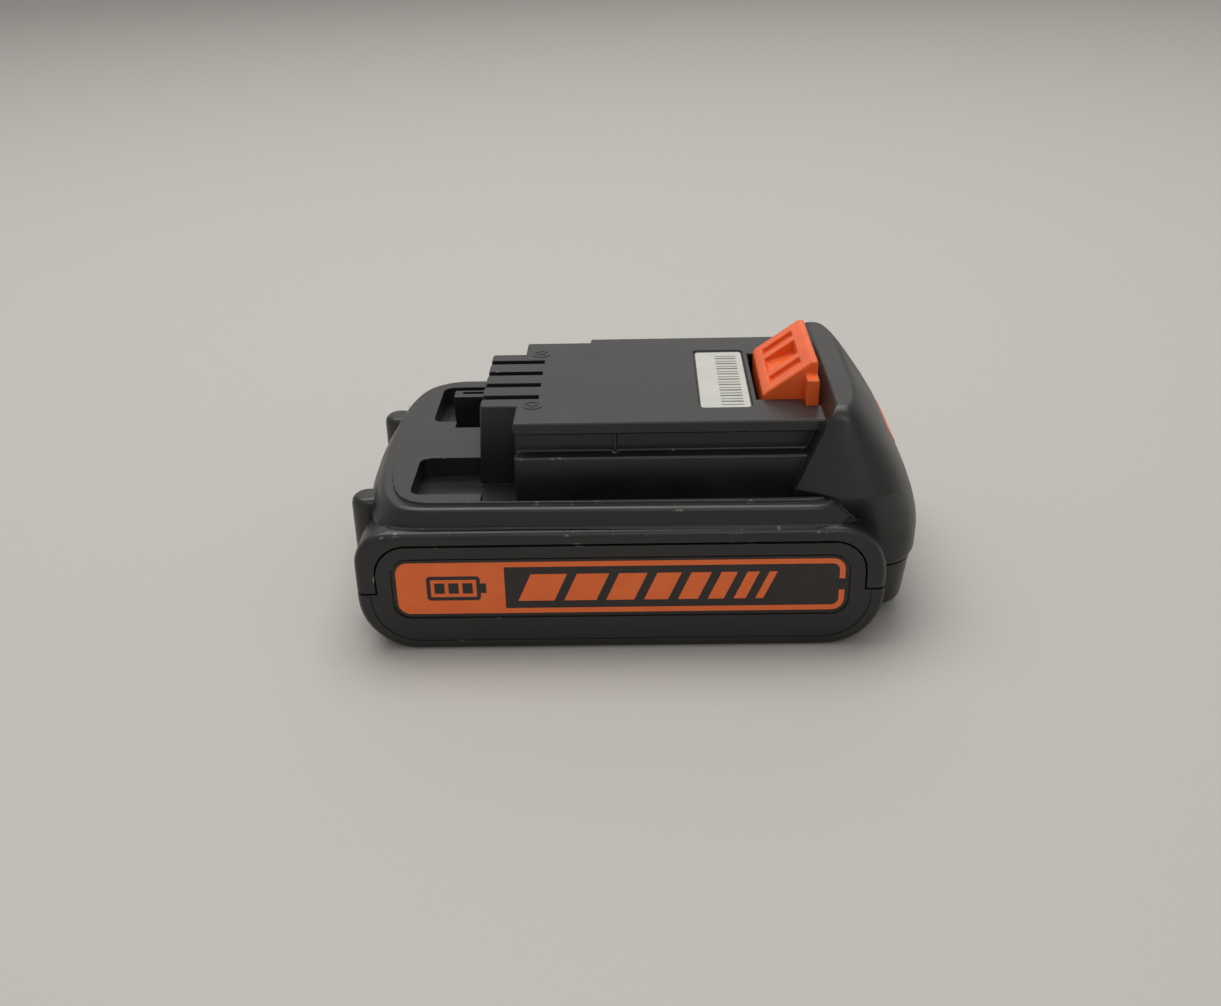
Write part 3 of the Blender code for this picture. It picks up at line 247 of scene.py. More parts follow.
# the real material and how it was made, its two colours, its roughness, and 1 for metal
insideFinishes = {
    "cell_can": ("nickel-plated steel, drawn", "#b9b6ae", "#a7a49c", 0.28, 1.0),
    "cell_sleeve": ("shrink film, blue", "#2a5c8f", "#2f659b", 0.32, 0.0),
    "holder_plastic": ("ABS, moulded grey", "#3b3b3a", "#444442", 0.5, 0.0),
    "nickel_strip": ("nickel strip, rolled", "#bfbab0", "#b0aba1", 0.3, 1.0),
    "insulator": ("fish paper, pressed", "#8c7c5e", "#98886a", 0.75, 0.0),
    "board": ("glass-epoxy laminate, green mask", "#1f5a36", "#23653d", 0.35, 0.0),
    "resin": ("epoxy resin, moulded", "#1e1e1f", "#242425", 0.45, 0.0),
    "contact_metal": ("tinned bronze, stamped", "#c3b59a", "#b8a98d", 0.3, 1.0),
    "spring_steel": ("spring steel, drawn wire", "#9c9c9e", "#8e8e91", 0.27, 1.0),
    "screw_steel": ("zinc-plated steel, formed", "#a9abad", "#9a9c9f", 0.33, 1.0),
}

nylon = makeBlackNylon(blackNylon)
acetal = makeFinish(orangeAcetal, "acetal, moulded orange", "#df581d", "#ea6226", 0.38, 0.0, IOR=1.48)
darkFilm = makeFinish(evenFinish, "polyester film, printed dark", "#211c1b", "#272120", 0.34, 0.0)
orangeInk = makeFinish(evenFinish, "screen ink, orange", "#ee6c2c", "#f27231", 0.36, 0.0)
whiteFilm = makeFinish(evenFinish, "vinyl film, white", "#b8b8b0", "#bfbfb7", 0.4, 0.0)
greyInk = makeFinish(evenFinish, "thermal print, grey", "#5c5c5a", "#6a6a68", 0.45, 0.0)
finishes = {slot: makeFinish(evenFinish, *spec) for slot, spec in insideFinishes.items()}
slotOf = {part["node"]: part["material_slot"] for part in frame["record"]["subparts"]}
for nodeName, cadNode in frame["nodes"].items():
    cadNode.data.materials.clear()
    cadNode.data.materials.append(finishes.get(slotOf[nodeName], nylon))
print("materials made")


sortLine = Vector((1.0, -0.6181, 0.2719))  # skew, so that no two places share a spot on it


def fixOrder(bm):
    # sorted by place, so that every run makes the same mesh
    bm.verts.sort(key=lambda vert: vert.co.dot(sortLine))
    bm.edges.sort(key=lambda edge: (edge.verts[0].co + edge.verts[1].co).dot(sortLine))
    bm.faces.sort(key=lambda face: face.calc_center_median().dot(sortLine))


def addPiece(name, bm, materials, body):
    fixOrder(bm)
    mesh = bpy.data.meshes.new(name)
    bm.to_mesh(mesh)
    bm.free()
    for material in materials:
        mesh.materials.append(material)
    piece = bpy.data.objects.new(name, mesh)
    bpy.context.scene.collection.objects.link(piece)
    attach(piece, body)
    return piece


# housings: the two shells as the photograph shows them, with a stepped deck, a squarer nose and a rear
# bulge that hangs clear of the bench
shellSizes = {
    "fit": 0.3 * mm,  # between pieces that seat on each other
    "slide": 0.4 * mm,  # round the sliding latch
    "sink": 1 * mm,  # how far joined forms run into each other
    "cellCount": 5,
    "cellDiameter": 18.3 * mm,
    "cellLength": 65 * mm,
    "cellSpacing": 0.9 * mm,  # between neighbouring cells
    "cellLift": 0.85 * mm,  # cells above the housing floor
    "holderEnd": 1.2 * mm,  # holder beyond the outer cells
    "holderPlate": 1.2 * mm,
    "stripThickness": 0.3 * mm,
    "insulator": 0.25 * mm,
    "boardLift": 1.75 * mm,  # board above the cells
    "boardThickness": 1.6 * mm,
    "contactPitch": 7 * mm,
    "contactCount": 4,
    "floor": 2 * mm,
    "sideWall": 2.65 * mm,
    "endWall": 2.6 * mm,
    "endRoom": 2.65 * mm,  # beyond the holders at each end
    "ceilingRoom": 0.5 * mm,  # above the strips' tabs
    "cheekRoof": 1.7 * mm,
    "troughFloor": 2 * mm,
    "troughDepth": 4.7 * mm,
    "shelfRise": 5.9 * mm,  # lower rail above the deck
    "channelHeight": 4.7 * mm,  # rail channel
    "flange": 2.7 * mm,
    "plateWall": 2.4 * mm,
    "humpRise": 3.3 * mm,  # hump's top above the plate
    "cheekRadius": 12 * mm,  # lower corners, seen from the side
    "cheekFrontRadius": 7.6 * mm,  # upper corners
    "cheekRearRadius": 10.6 * mm,
    "cheekEdge": 1.6 * mm,
    "blockInsetFront": 2 * mm,  # deck block inside the cheeks, at its front
    "blockInsetRear": 1.2 * mm,
    "blockFlare": 0.3 * mm,
    "blockEdge": 1.2 * mm,
    "plateauStep": 0.7 * mm,  # deck above the shoulder that runs round it
    "plateauInset": 1.9 * mm,
    "plateauSetback": 1.6 * mm,
    "frontProud": 0.6 * mm,  # nose beyond the cheeks' front end
    "frontSetback": 4.2 * mm,  # shoulder behind the nose
    "rearSetback": 6.9 * mm,
    "endTuck": 3.4 * mm,  # underside edge behind the body's ends
    "frontStraight": 0.52,  # share of the half length with straight sides
    "rearStraight": 0.7,
    "frontSquare": 6.5,  # squareness of the rounded ends in plan, 2 for an ellipse
    "rearSquare": 3.0,
    "frontBow": 3.2 * mm,  # how much the front end's corners lie behind its middle
    "frontCurl": 5,  # how late the ends curl in towards the deck
    "rearCurl": 4,
    "parting": 13.4 * mm,  # height of the seam round the ends
    "tongueMarginEnd": 4.2 * mm,
    "tongueMarginTop": 3 * mm,
    "tongueRadius": 6.8 * mm,
    "seam": 0.3 * mm,
    "rimGrooveEnd": 3.1 * mm,  # groove that carries the tongue's outline on round the lower edge
    "rimGrooveLow": 2.4 * mm,
    "rimGrooveRadius": 9.5 * mm,
    "rimGrooveWidth": 0.4 * mm,
    "rimGrooveDepth": 0.3 * mm,
    "plateHalf": 25.1 * mm,
    "channelHalf": 22.6 * mm,
    "shelfHalf": 25.9 * mm,
    "towerHalf": 15.5 * mm,
    "towerWall": 1.8 * mm,
    "plateFront": -21.3 * mm,
    "towerFront": -28.8 * mm,
    "towerLean": 1 * mm,
    "railEdge": 0.4 * mm,
    "keyNotchEnd": -6.7 * mm,
    "stopRib": 0.7 * mm,
    "stopRibX": -1 * mm,
    "slotWidth": 2.3 * mm,
    "slotEnd": -16.8 * mm,
    "slotDepth": 10.4 * mm,
    "troughFront": -42.6 * mm,
    "troughStep": -27.7 * mm,
    "troughInner": 11.7 * mm,
    "troughOuter": 29.5 * mm,
    "troughWide": 33 * mm,
    "troughCorner": 2.2 * mm,
    "troughStepCorner": 0.7 * mm,
    "pitInner": 8.3 * mm,
    "pitStepInner": 4.8 * mm,
    "pitStep": -37.2 * mm,
    "keyFront": -38.8 * mm,  # sense connector in the far trough
    "keyLength": 8.5 * mm,
    "keySide": 16.5 * mm,
    "keyWidth": 4 * mm,
    "keyRise": 2.7 * mm,  # above the deck
    "humpFootRun": 18.2 * mm,  # hump's front at deck level
    "humpCrestRun": 10.7 * mm,  # hump's front at its top
    "humpShoulderRun": 9 * mm,  # where the rear corners start, at deck level
    "humpShoulderTopRun": 9.5 * mm,
    "humpTopHalf": 27.4 * mm,
    "humpFootHalf": 29.8 * mm,
    "humpDeckHalf": 34.2 * mm,
    "bulgeProud": 9.4 * mm,
    "bulgeHalf": 29 * mm,
    "bulgeHeight": 20 * mm,  # height of the rearmost point
    "bulgeBottom": 3 * mm,  # the bulge hangs clear of the table
    "bulgeRound": 1.2 * mm,
    "bulgeStep": 0.6 * mm,  # its lower half is this much smaller
    "bulgeCurl": 2 * mm,  # and the upper one curls in to it
    "bulgeSquare": 5.0,
    "bulgeLevels": 4,
    "slopeDrop": 14.5 * mm,  # rear slope's run from the bulge to the crest
    "slopePower": 1.6,
    "bulgeTuck": 2.4 * mm,
    "humpEdge": 2.6 * mm,  # rounding of the crest's sides
    "humpEndShare": 0.3,  # its share at the crest's front and rear
    "humpSquareFoot": 3.8,  # squareness of the rear corners in plan
    "humpSquareTop": 3.0,
    "humpLevels": 4,
    "rearWall": 1.3 * mm,
    "screwFrontInset": 1.3 * mm,  # screws inside the body's ends
    "screwFrontY": 21.6 * mm,
    "screwRearInset": 1.4 * mm,
    "screwRearY": 22 * mm,
    "bossRadius": 3.6 * mm,
    "bossTop": 28.9 * mm,
    "bossFoot": 0.8 * mm,
    "bossRound": 1.8 * mm,
    "screwHead": 2.7 * mm,
    "screwShank": 1.45 * mm,
    "screwLength": 15 * mm,
    "screwDepth": 5 * mm,  # head's seat above the underside
    "latchLength": 11.25 * mm,
    "latchSpace": 1.85 * mm,  # between the latch and the hump's crest
    "latchHalf": 13.5 * mm,
    "earLength": 2.6 * mm,
    "earWidth": 3.6 * mm,
    "windowGap": 1.3 * mm,  # window in front of the nose
    "lipWidth": 1.4 * mm,  # retaining lip beyond the ears
    "buttonHalf": 9 * mm,
    "buttonBottom": 29.6 * mm,
    "buttonTop": 35.4 * mm,
    "buttonCorner": 1.8 * mm,
    "springInset": 1 * mm,  # spring's axis inside the body's rear end
    "seatHalf": 3.1 * mm,
    "seatTop": 22 * mm,
    "labelHalf": 46.2 * mm,
    "labelBottom": 8 * mm,
    "labelTop": 21.1 * mm,
    "labelRadius": 3.2 * mm,
    "labelMargin": 0.4 * mm,
    "labelRecess": 0.5 * mm,
    "stickerFront": 17.2 * mm,
    "stickerLength": 10.3 * mm,
    "stickerMiddle": -1 * mm,
    "stickerWidth": 32.8 * mm,
    "stickerRadius": 0.8 * mm,
    "stickerSpare": 0.7 * mm,  # the sticker's recess is longer at the far end
    "tuckCurve": ((0.0, 1.0), (0.25, 0.5), (0.8, 0.15), (1.9, 0.0)),  # (rise, inset) as shares of endTuck
    "sharpAngle": 35,  # degrees
    "softAngle": 40,
    "softSteps": 2,  # segments of rounded edges, corners and rounds
    "edgeSteps": 3,
    "flareSteps": 2,
    "arcSteps": 10,
    "troughSteps": 3,
    "troughStepSteps": 2,
    "pressSteps": 4,
    "labelSteps": 5,
    "stickerSteps": 3,
    "screwSteps": 16,
    "roundSteps": 24,
    "bayLevels": 6,
    "endSteps": 26,
    "endSpacing": 0.6,  # below 1, points crowd towards the corners of an end
}
shell = SimpleNamespace(**shellSizes)
shell.cellPitch = shell.cellDiameter + shell.cellSpacing
shell.cellRadius = shell.cellDiameter / 2
shell.cellRow = (shell.cellCount - 1) * shell.cellPitch / 2
shell.cellZ = shell.floor + shell.cellLift + shell.cellRadius
shell.plateIn = shell.cellLength / 2 + shell.fit
shell.plateOut = shell.plateIn + shell.holderPlate
shell.sheetIn = shell.plateOut + shell.fit
shell.bayHalf = shell.sheetIn + shell.insulator + shell.fit
shell.halfWidth = shell.bayHalf + shell.sideWall
shell.holderHalf = shell.cellRow + shell.cellRadius + shell.holderEnd
shell.bayLengthHalf = shell.holderHalf + shell.endRoom
shell.halfLength = shell.bayLengthHalf + shell.endWall
shell.bulgeReach = shell.halfLength + shell.bulgeProud
shell.humpFoot = shell.halfLength - shell.humpFootRun
shell.humpCrest = shell.halfLength - shell.humpCrestRun
shell.humpShoulder = shell.halfLength - shell.humpShoulderRun
shell.humpShoulderTop = shell.halfLength - shell.humpShoulderTopRun
shell.screwFrontX = shell.screwFrontInset - shell.halfLength
shell.screwRearX = shell.halfLength - shell.screwRearInset
shell.latchBack = shell.humpCrest - shell.latchSpace
shell.latchFront = shell.latchBack - shell.latchLength
shell.springX = shell.halfLength - shell.springInset
shell.bulgeFloor = shell.bulgeBottom + shell.bulgeRound + shell.bulgeStep
shell.tuck = [(shell.endTuck * rise, shell.endTuck * inset) for rise, inset in shell.tuckCurve]
shell.boardBottom = shell.cellZ + shell.cellRadius + shell.boardLift
shell.boardTop = shell.boardBottom + shell.boardThickness
shell.tabBottom = shell.boardTop + shell.fit
shell.ceiling = shell.tabBottom + shell.stripThickness + shell.ceilingRoom
shell.cheekTop = shell.ceiling + shell.cheekRoof
shell.troughZ = shell.ceiling + shell.troughFloor
shell.deck = shell.troughZ + shell.troughDepth
shell.shoulder = shell.deck - shell.plateauStep
shell.shelf = shell.deck + shell.shelfRise
shell.flangeZ = shell.shelf + shell.channelHeight
shell.plateTop = shell.flangeZ + shell.flange
shell.roof = shell.plateTop - shell.plateWall
shell.humpTop = shell.plateTop + shell.humpRise
shell.windowBack = shell.latchBack + shell.slide
shell.lipHalf = shell.latchHalf + shell.earWidth + shell.lipWidth
shell.wellHalf = shell.lipHalf + shell.slide
shell.windowFront = shell.latchFront - shell.windowGap
shell.wellFront = shell.windowFront - shell.slide

cutters = bpy.data.collections.new("workForms")
bpy.context.scene.collection.children.link(cutters)


def makeCutter(name, mesh):
    cutter = bpy.data.objects.new(name, mesh)
    cutter.hide_render = True
    cutter.display_type = "WIRE"
    cutters.objects.link(cutter)
    return cutter


def boolean(target, operation, *tools):
    for tool in tools:
        modifier = target.modifiers.new(tool.name, "BOOLEAN")
        modifier.operation = operation
        modifier.solver = "EXACT"
        modifier.object = tool


def soften(bm, width):
    bmesh.ops.recalc_face_normals(bm, faces=bm.faces)
    limit = math.radians(shell.softAngle)
    sharp = [edge for edge in bm.edges if edge.calc_face_angle() > limit]
    bmesh.ops.bevel(bm, geom=sharp, offset=width, offset_type="OFFSET", affect="EDGES",
                    segments=shell.softSteps, profile=0.5, material=-1, clamp_overlap=True, loop_slide=True)


def finishForm(name, bm, smooth=True):
    bmesh.ops.recalc_face_normals(bm, faces=bm.faces)
    fixOrder(bm)
    mesh = bpy.data.meshes.new(name)
    bm.to_mesh(mesh)
    bm.free()
    if smooth:
        mesh.shade_smooth()
        mesh.set_sharp_from_angle(angle=math.radians(shell.sharpAngle))
    return makeCutter(name, mesh)


def spread(axis, level, outline):
    if axis == "X":
        return [(level, u, v) for u, v in outline]
    if axis == "Y":
        return [(u, level, v) for u, v in outline]
    return [(u, v, level) for u, v in outline]


def loft(name, loops, edge=0.0):
    # a closed form, grown from loop to loop; all loops have the same number of points
    bm = bmesh.new()
    faces = [bm.faces.new([bm.verts.new(point) for point in loops[0]])]
    for loop in loops[1:]:
        grown = bmesh.ops.extrude_face_region(bm, geom=faces[-1:])["geom"]
        faces.append(next(item for item in grown if isinstance(item, bmesh.types.BMFace)))
        for vert, point in zip(faces[-1].verts, loop):
            vert.co = point
    bmesh.ops.delete(bm, geom=faces[1:-1], context="FACES_ONLY")
    if edge:
        soften(bm, edge)
    return finishForm(name, bm)


def prism(name, axis, outline, start, stop, edge=0.0):
    return loft(name, [spread(axis, level, outline) for level in (start, stop)], edge)


def box(name, low, high):
    bm = bmesh.new()
    bmesh.ops.create_cube(bm, size=1.0)
    bmesh.ops.scale(bm, vec=Vector(high) - Vector(low), verts=bm.verts)
    bmesh.ops.translate(bm, vec=(Vector(high) + Vector(low)) / 2, verts=bm.verts)
    return finishForm(name, bm, smooth=False)


def cornerRect(u0, v0, u1, v1, radii, steps=shell.arcSteps):
    # a rectangle with its own radius at each corner, from the lower right one round to the lower left
    points = []
    for index, radius in enumerate(radii):
        u = u1 - radius if index < 2 else u0 + radius
        v = v1 - radius if index in (1, 2) else v0 + radius
        for step in range(steps + 1):
            angle = math.radians(90 * (index - 1 + step / steps))
            points.append((u + radius * math.cos(angle), v + radius * math.sin(angle)))
    return points


def roundRect(u0, v0, u1, v1, radius, steps=shell.arcSteps):
    return cornerRect(u0, v0, u1, v1, [radius] * 4, steps)


def circle(radius, steps=shell.roundSteps):
    turn = [math.tau * step / steps for step in range(steps)]
    return [(radius * math.cos(angle), radius * math.sin(angle)) for angle in turn]


def turned(name, place, profile, steps=shell.roundSteps):
    # a round form at a place in plan, from (radius, height) points
    form = loft(name, [spread("Z", height, circle(radius, steps)) for radius, height in profile])
    form.location = (*place, 0.0)
    return form


def bowedEnd(root, tip, half, power, bow=0.0):
    # a rounded end, from one side of the body to the other, that bows out from root to tip
    points = []
    for step in range(shell.endSteps + 1):
        angle = math.pi * (step / shell.endSteps - 0.5)
        across = abs(math.sin(angle)) ** shell.endSpacing
        along = (1 - across ** power) ** (1 / power) if 0 < step < shell.endSteps else 0.0
        reach = (tip - root) * along
        points.append((root + reach - math.copysign(bow, reach) * across ** 2 * along,
                       math.copysign(across * half, angle)))
    return points


def slopeX(height):
    # rear face of the hump in its middle, at this height
    if height < shell.bulgeHeight:
        return shell.bulgeReach - shell.bulgeTuck * ((shell.bulgeHeight - height) / shell.bulgeHeight) ** 2
    rise = (height - shell.bulgeHeight) / (shell.humpTop - shell.bulgeHeight)
    return shell.bulgeReach - shell.slopeDrop * rise ** shell.slopePower


def quarter(radius, steps=shell.edgeSteps):
    # (inset, distance from the face) pairs of a rounded edge, from the face outwards
    turn = [math.pi / 2 * step / steps for step in range(steps + 1)]
    return [(radius * (1 - math.sin(angle)), radius * (1 - math.cos(angle))) for angle in turn]


def cheekForm():
    # lower body: a long rounded outline seen from the side, with softened side edges
    def outline(inset):
        radii = (shell.cheekRadius, shell.cheekRearRadius, shell.cheekFrontRadius, shell.cheekRadius)
        return cornerRect(inset - shell.halfLength, inset, shell.halfLength - inset, shell.cheekTop - inset,
                          [radius - inset for radius in radii])
    edge = quarter(shell.cheekEdge)
    near = [spread("Y", depth - shell.halfWidth, outline(inset)) for inset, depth in edge]
    far = [spread("Y", shell.halfWidth - depth, outline(inset)) for inset, depth in reversed(edge)]
    return loft("cheekForm", near + far)


def deckForm():
    # body between the cheeks: it narrows to the front, rounds over at both ends and carries the deck
    frontHalf = shell.halfWidth - shell.blockInsetFront
    rearHalf = shell.halfWidth - shell.blockInsetRear
    frontRoot = -shell.halfLength * shell.frontStraight
    rearRoot = shell.halfLength * shell.rearStraight
    flares = quarter(shell.blockFlare, shell.flareSteps)
    edge = reversed(quarter(shell.blockEdge))
    levels = [(height, inset, shell.blockFlare) for height, inset in shell.tuck + [(shell.parting, 0.0)]]
    levels += [(shell.cheekTop + depth, 0.0, flare) for flare, depth in flares]
    levels += [(shell.shoulder - depth, 0.0, -inset) for inset, depth in edge]
    levels += [(height, shell.plateauSetback, -shell.plateauInset) for height in (shell.shoulder, shell.deck)]
    loops = []
    for height, tuck, flare in levels:
        rise = min(1.0, max(0.0, (height - shell.parting) / (shell.shoulder - shell.parting)))
        front = -shell.halfLength - shell.frontProud + tuck + shell.frontSetback * rise ** shell.frontCurl
        rear = shell.halfLength - tuck - shell.rearSetback * rise ** shell.rearCurl
        nose = bowedEnd(frontRoot, front, frontHalf + flare, shell.frontSquare, shell.frontBow)
        tail = bowedEnd(rearRoot, rear, rearHalf + flare, shell.rearSquare)
        loops.append(spread("Z", height, nose + tail[::-1]))
    return loft("deckForm", loops)


def humpForm():
    # latch tower and rear bulge: plan sections from the bulge's underside to the crest
    climb = shell.deck - shell.bulgeHeight
    rise = shell.humpTop - shell.humpEdge - shell.deck
    underside = quarter(shell.bulgeRound)
    levels = [(shell.bulgeBottom + depth, shell.bulgeStep + inset) for inset, depth in underside]
    levels += [(shell.parting, shell.bulgeStep), (shell.parting + shell.bulgeCurl, 0.0)]
    for step in range(shell.bulgeLevels + 1):
        levels.append((shell.bulgeHeight + climb * step / shell.bulgeLevels, 0.0))
    levels += [(shell.deck + rise * step / shell.humpLevels, 0.0) for step in range(1, shell.humpLevels)]
    levels += [(shell.humpTop - depth, inset) for inset, depth in reversed(quarter(shell.humpEdge))]
    loops = []
    for height, inset in levels:
        lift = min(1.0, max(0.0, (height - shell.bulgeHeight) / climb))
        part = max(0.0, (height - shell.deck) / (shell.humpTop - shell.deck))
        foot = shell.humpFoot + (shell.humpCrest - shell.humpFoot) * part
        half = shell.bulgeHalf + (shell.humpDeckHalf - shell.bulgeHalf) * lift - inset
        half += (shell.humpTopHalf - shell.humpDeckHalf) * part
        if height < shell.bulgeHeight:
            half -= (shell.bulgeReach - slopeX(height)) / 2
        footHalf = shell.humpFootHalf + (shell.humpTopHalf - shell.humpFootHalf) * part - inset
        footHalf = min(footHalf, half)
        shoulder = shell.humpShoulder + (shell.humpShoulderTop - shell.humpShoulder) * part
        square = shell.bulgeSquare + (shell.humpSquareFoot - shell.bulgeSquare) * lift
        square += (shell.humpSquareTop - shell.humpSquareFoot) * part
        ease = inset * shell.humpEndShare if part else inset
        tail = bowedEnd(shoulder, slopeX(height) - ease, half, square)
        sides = [(foot + ease * part, footHalf), (foot + ease * part, -footHalf)]
        loops.append(spread("Z", height, tail + sides))
    return loft("humpForm", loops)


def railOutline():
    half = [(shell.shelfHalf, shell.ceiling + shell.sink), (shell.shelfHalf, shell.shelf),
            (shell.channelHalf, shell.shelf), (shell.channelHalf, shell.flangeZ),
            (shell.plateHalf, shell.flangeZ), (shell.plateHalf, shell.plateTop)]
    return half + [(-y, z) for y, z in reversed(half)]


def towerOutline():
    foot = shell.ceiling + shell.sink
    back = shell.plateFront + shell.sink
    return [(shell.towerFront - shell.towerLean, foot), (shell.towerFront, shell.plateTop),
            (back, shell.plateTop), (back, foot)]


def troughCutters(side, inner):
    # sunk floor beside the tower, narrow in front of it and wide along it
    def span(start, stop):
        return sorted((side * start, side * stop))
    low, high = span(inner, shell.troughOuter)
    front = roundRect(shell.troughFront, low, shell.humpShoulder, high,
                      shell.troughCorner, shell.troughSteps)
    low, high = span(shell.channelHalf, shell.troughWide)
    along = roundRect(shell.troughStep, low, shell.humpShoulder, high,
                      shell.troughStepCorner, shell.troughStepSteps)
    above = shell.deck + shell.sink
    return [prism("troughCutter", "Z", outline, shell.troughZ, above) for outline in (front, along)]


def bayOutline():
    # room for the latch's arm, its button and its spring, seen from the side
    climb = shell.buttonTop + shell.slide - shell.bulgeHeight
    upper = [shell.bulgeHeight + climb * step / shell.bayLevels for step in range(shell.bayLevels + 1)]
    lower = (shell.bulgeFloor, shell.parting)
    rear = [(slopeX(height) - shell.bulgeStep - shell.rearWall, height) for height in lower]
    rear += [(slopeX(height) - shell.rearWall, height) for height in upper]
    under = shell.roof - shell.sink
    below = shell.ceiling - shell.sink
    well = shell.wellFront + shell.sink
    seat = shell.springX - shell.seatHalf - shell.sink
    top = [(shell.humpCrest + shell.plateWall, shell.plateTop), (shell.humpCrest - shell.plateWall, under)]
    return rear + top + [(well, under), (well, below), (seat, below), (seat, shell.bulgeFloor)]


def windowOutline():
    # t-shaped opening in the plate: the latch's nose, and its two ears at the back
    nose = shell.latchHalf + shell.slide
    ear = nose + shell.earWidth
    earFront = shell.latchBack - shell.earLength - shell.slide
    half = [(shell.windowFront, nose), (earFront, nose), (earFront, ear), (shell.windowBack, ear)]
    return half + [(x, -y) for x, y in reversed(half)]


def lowerRegion(gap):
    # space below the parting seam, with a tongue that rises up each side; gap is from the seam's middle
    reach = shell.bulgeReach + shell.sink
    below = box("belowSeam", (-reach, -reach, -shell.sink), (reach, reach, shell.parting + gap))
    half = shell.halfLength - shell.tongueMarginEnd + gap
    top = shell.cheekTop - shell.tongueMarginTop + gap
    outline = roundRect(-half, -2 * shell.sink, half, top, shell.tongueRadius + gap)
    boolean(below, "UNION", prism("tongue", "Y", outline, -reach, reach))
    return below


def rimGrooveOutline():
    # u-shaped groove, seen from the side, below the parting seam
    def path(gap):
        half = shell.halfLength - shell.rimGrooveEnd + gap
        ring = roundRect(-half, shell.rimGrooveLow - gap, half, shell.cheekTop, shell.rimGrooveRadius + gap)
        top = shell.parting - shell.rimGrooveWidth
        return [(-half, top)] + ring[-shell.arcSteps - 1:] + ring[:shell.arcSteps + 1] + [(half, top)]
    return path(shell.rimGrooveWidth / 2) + path(-shell.rimGrooveWidth / 2)[::-1]


def labelRecess():
    margin = shell.labelMargin
    half = shell.labelHalf + margin
    outline = roundRect(-half, shell.labelBottom - margin, half, shell.labelTop + margin,
                        shell.labelRadius + margin, shell.labelSteps)
    return prism("labelRecess", "Y", outline, -shell.halfWidth - shell.sink,
                 shell.labelRecess - shell.halfWidth)


def stickerRecess():
    margin = shell.labelMargin
    half = shell.stickerWidth / 2 + margin
    back = shell.stickerFront + shell.stickerLength + margin
    outline = roundRect(shell.stickerFront - margin, shell.stickerMiddle - half, back,
                        shell.stickerMiddle + half + shell.stickerSpare,
                        shell.stickerRadius + margin, shell.stickerSteps)
    return prism("stickerRecess", "Z", outline, shell.plateTop - shell.labelRecess,
                 shell.plateTop + shell.sink)


def keyHole():
    low = (shell.keyFront - shell.fit, shell.keySide - shell.fit, shell.ceiling - shell.sink)
    high = (shell.keyFront + shell.keyLength + shell.fit, shell.keySide + shell.keyWidth + shell.fit,
            shell.deck + shell.keyRise)
    return box("keyHole", low, high)


def commonForms():
    # what both shells are made with: bosses at the front screws, columns round the rear ones
    front = [(shell.screwFrontX, side * shell.screwFrontY) for side in (1, -1)]
    rear = [(shell.screwRearX, side * shell.screwRearY) for side in (1, -1)]
    dome = [(shell.bossRadius - inset, shell.bossTop - depth) for inset, depth in quarter(shell.bossRound)]
    dome.append((shell.bossRadius, shell.bossFoot))
    rod = [(shell.bossRadius, height) for height in (shell.screwDepth, shell.ceiling + shell.sink)]
    shank, head = shell.screwShank + shell.fit, shell.screwHead + shell.fit
    seat = shell.screwDepth + shell.fit
    hole = [(shank, shell.screwDepth + shell.screwLength + shell.fit), (shank, seat),
            (head, seat), (head, -shell.sink)]
    inside = roundRect(-shell.bayLengthHalf, shell.floor, shell.bayLengthHalf, shell.ceiling,
                       shell.cheekRadius - shell.endWall)
    latchBayHalf = shell.buttonHalf + 2 * shell.slide
    return SimpleNamespace(
        deck=deckForm(),
        hump=humpForm(),
        bosses=[turned("bossForm", place, dome) for place in front],
        columns=[turned("screwColumn", place, rod) for place in rear],
        screwHoles=[turned("screwHole", place, hole, shell.screwSteps) for place in front + rear],
        cellBay=prism("cellBay", "Y", inside, -shell.bayHalf, shell.bayHalf),
        latchBay=prism("latchBay", "Y", bayOutline(), -latchBayHalf, latchBayHalf),
    )


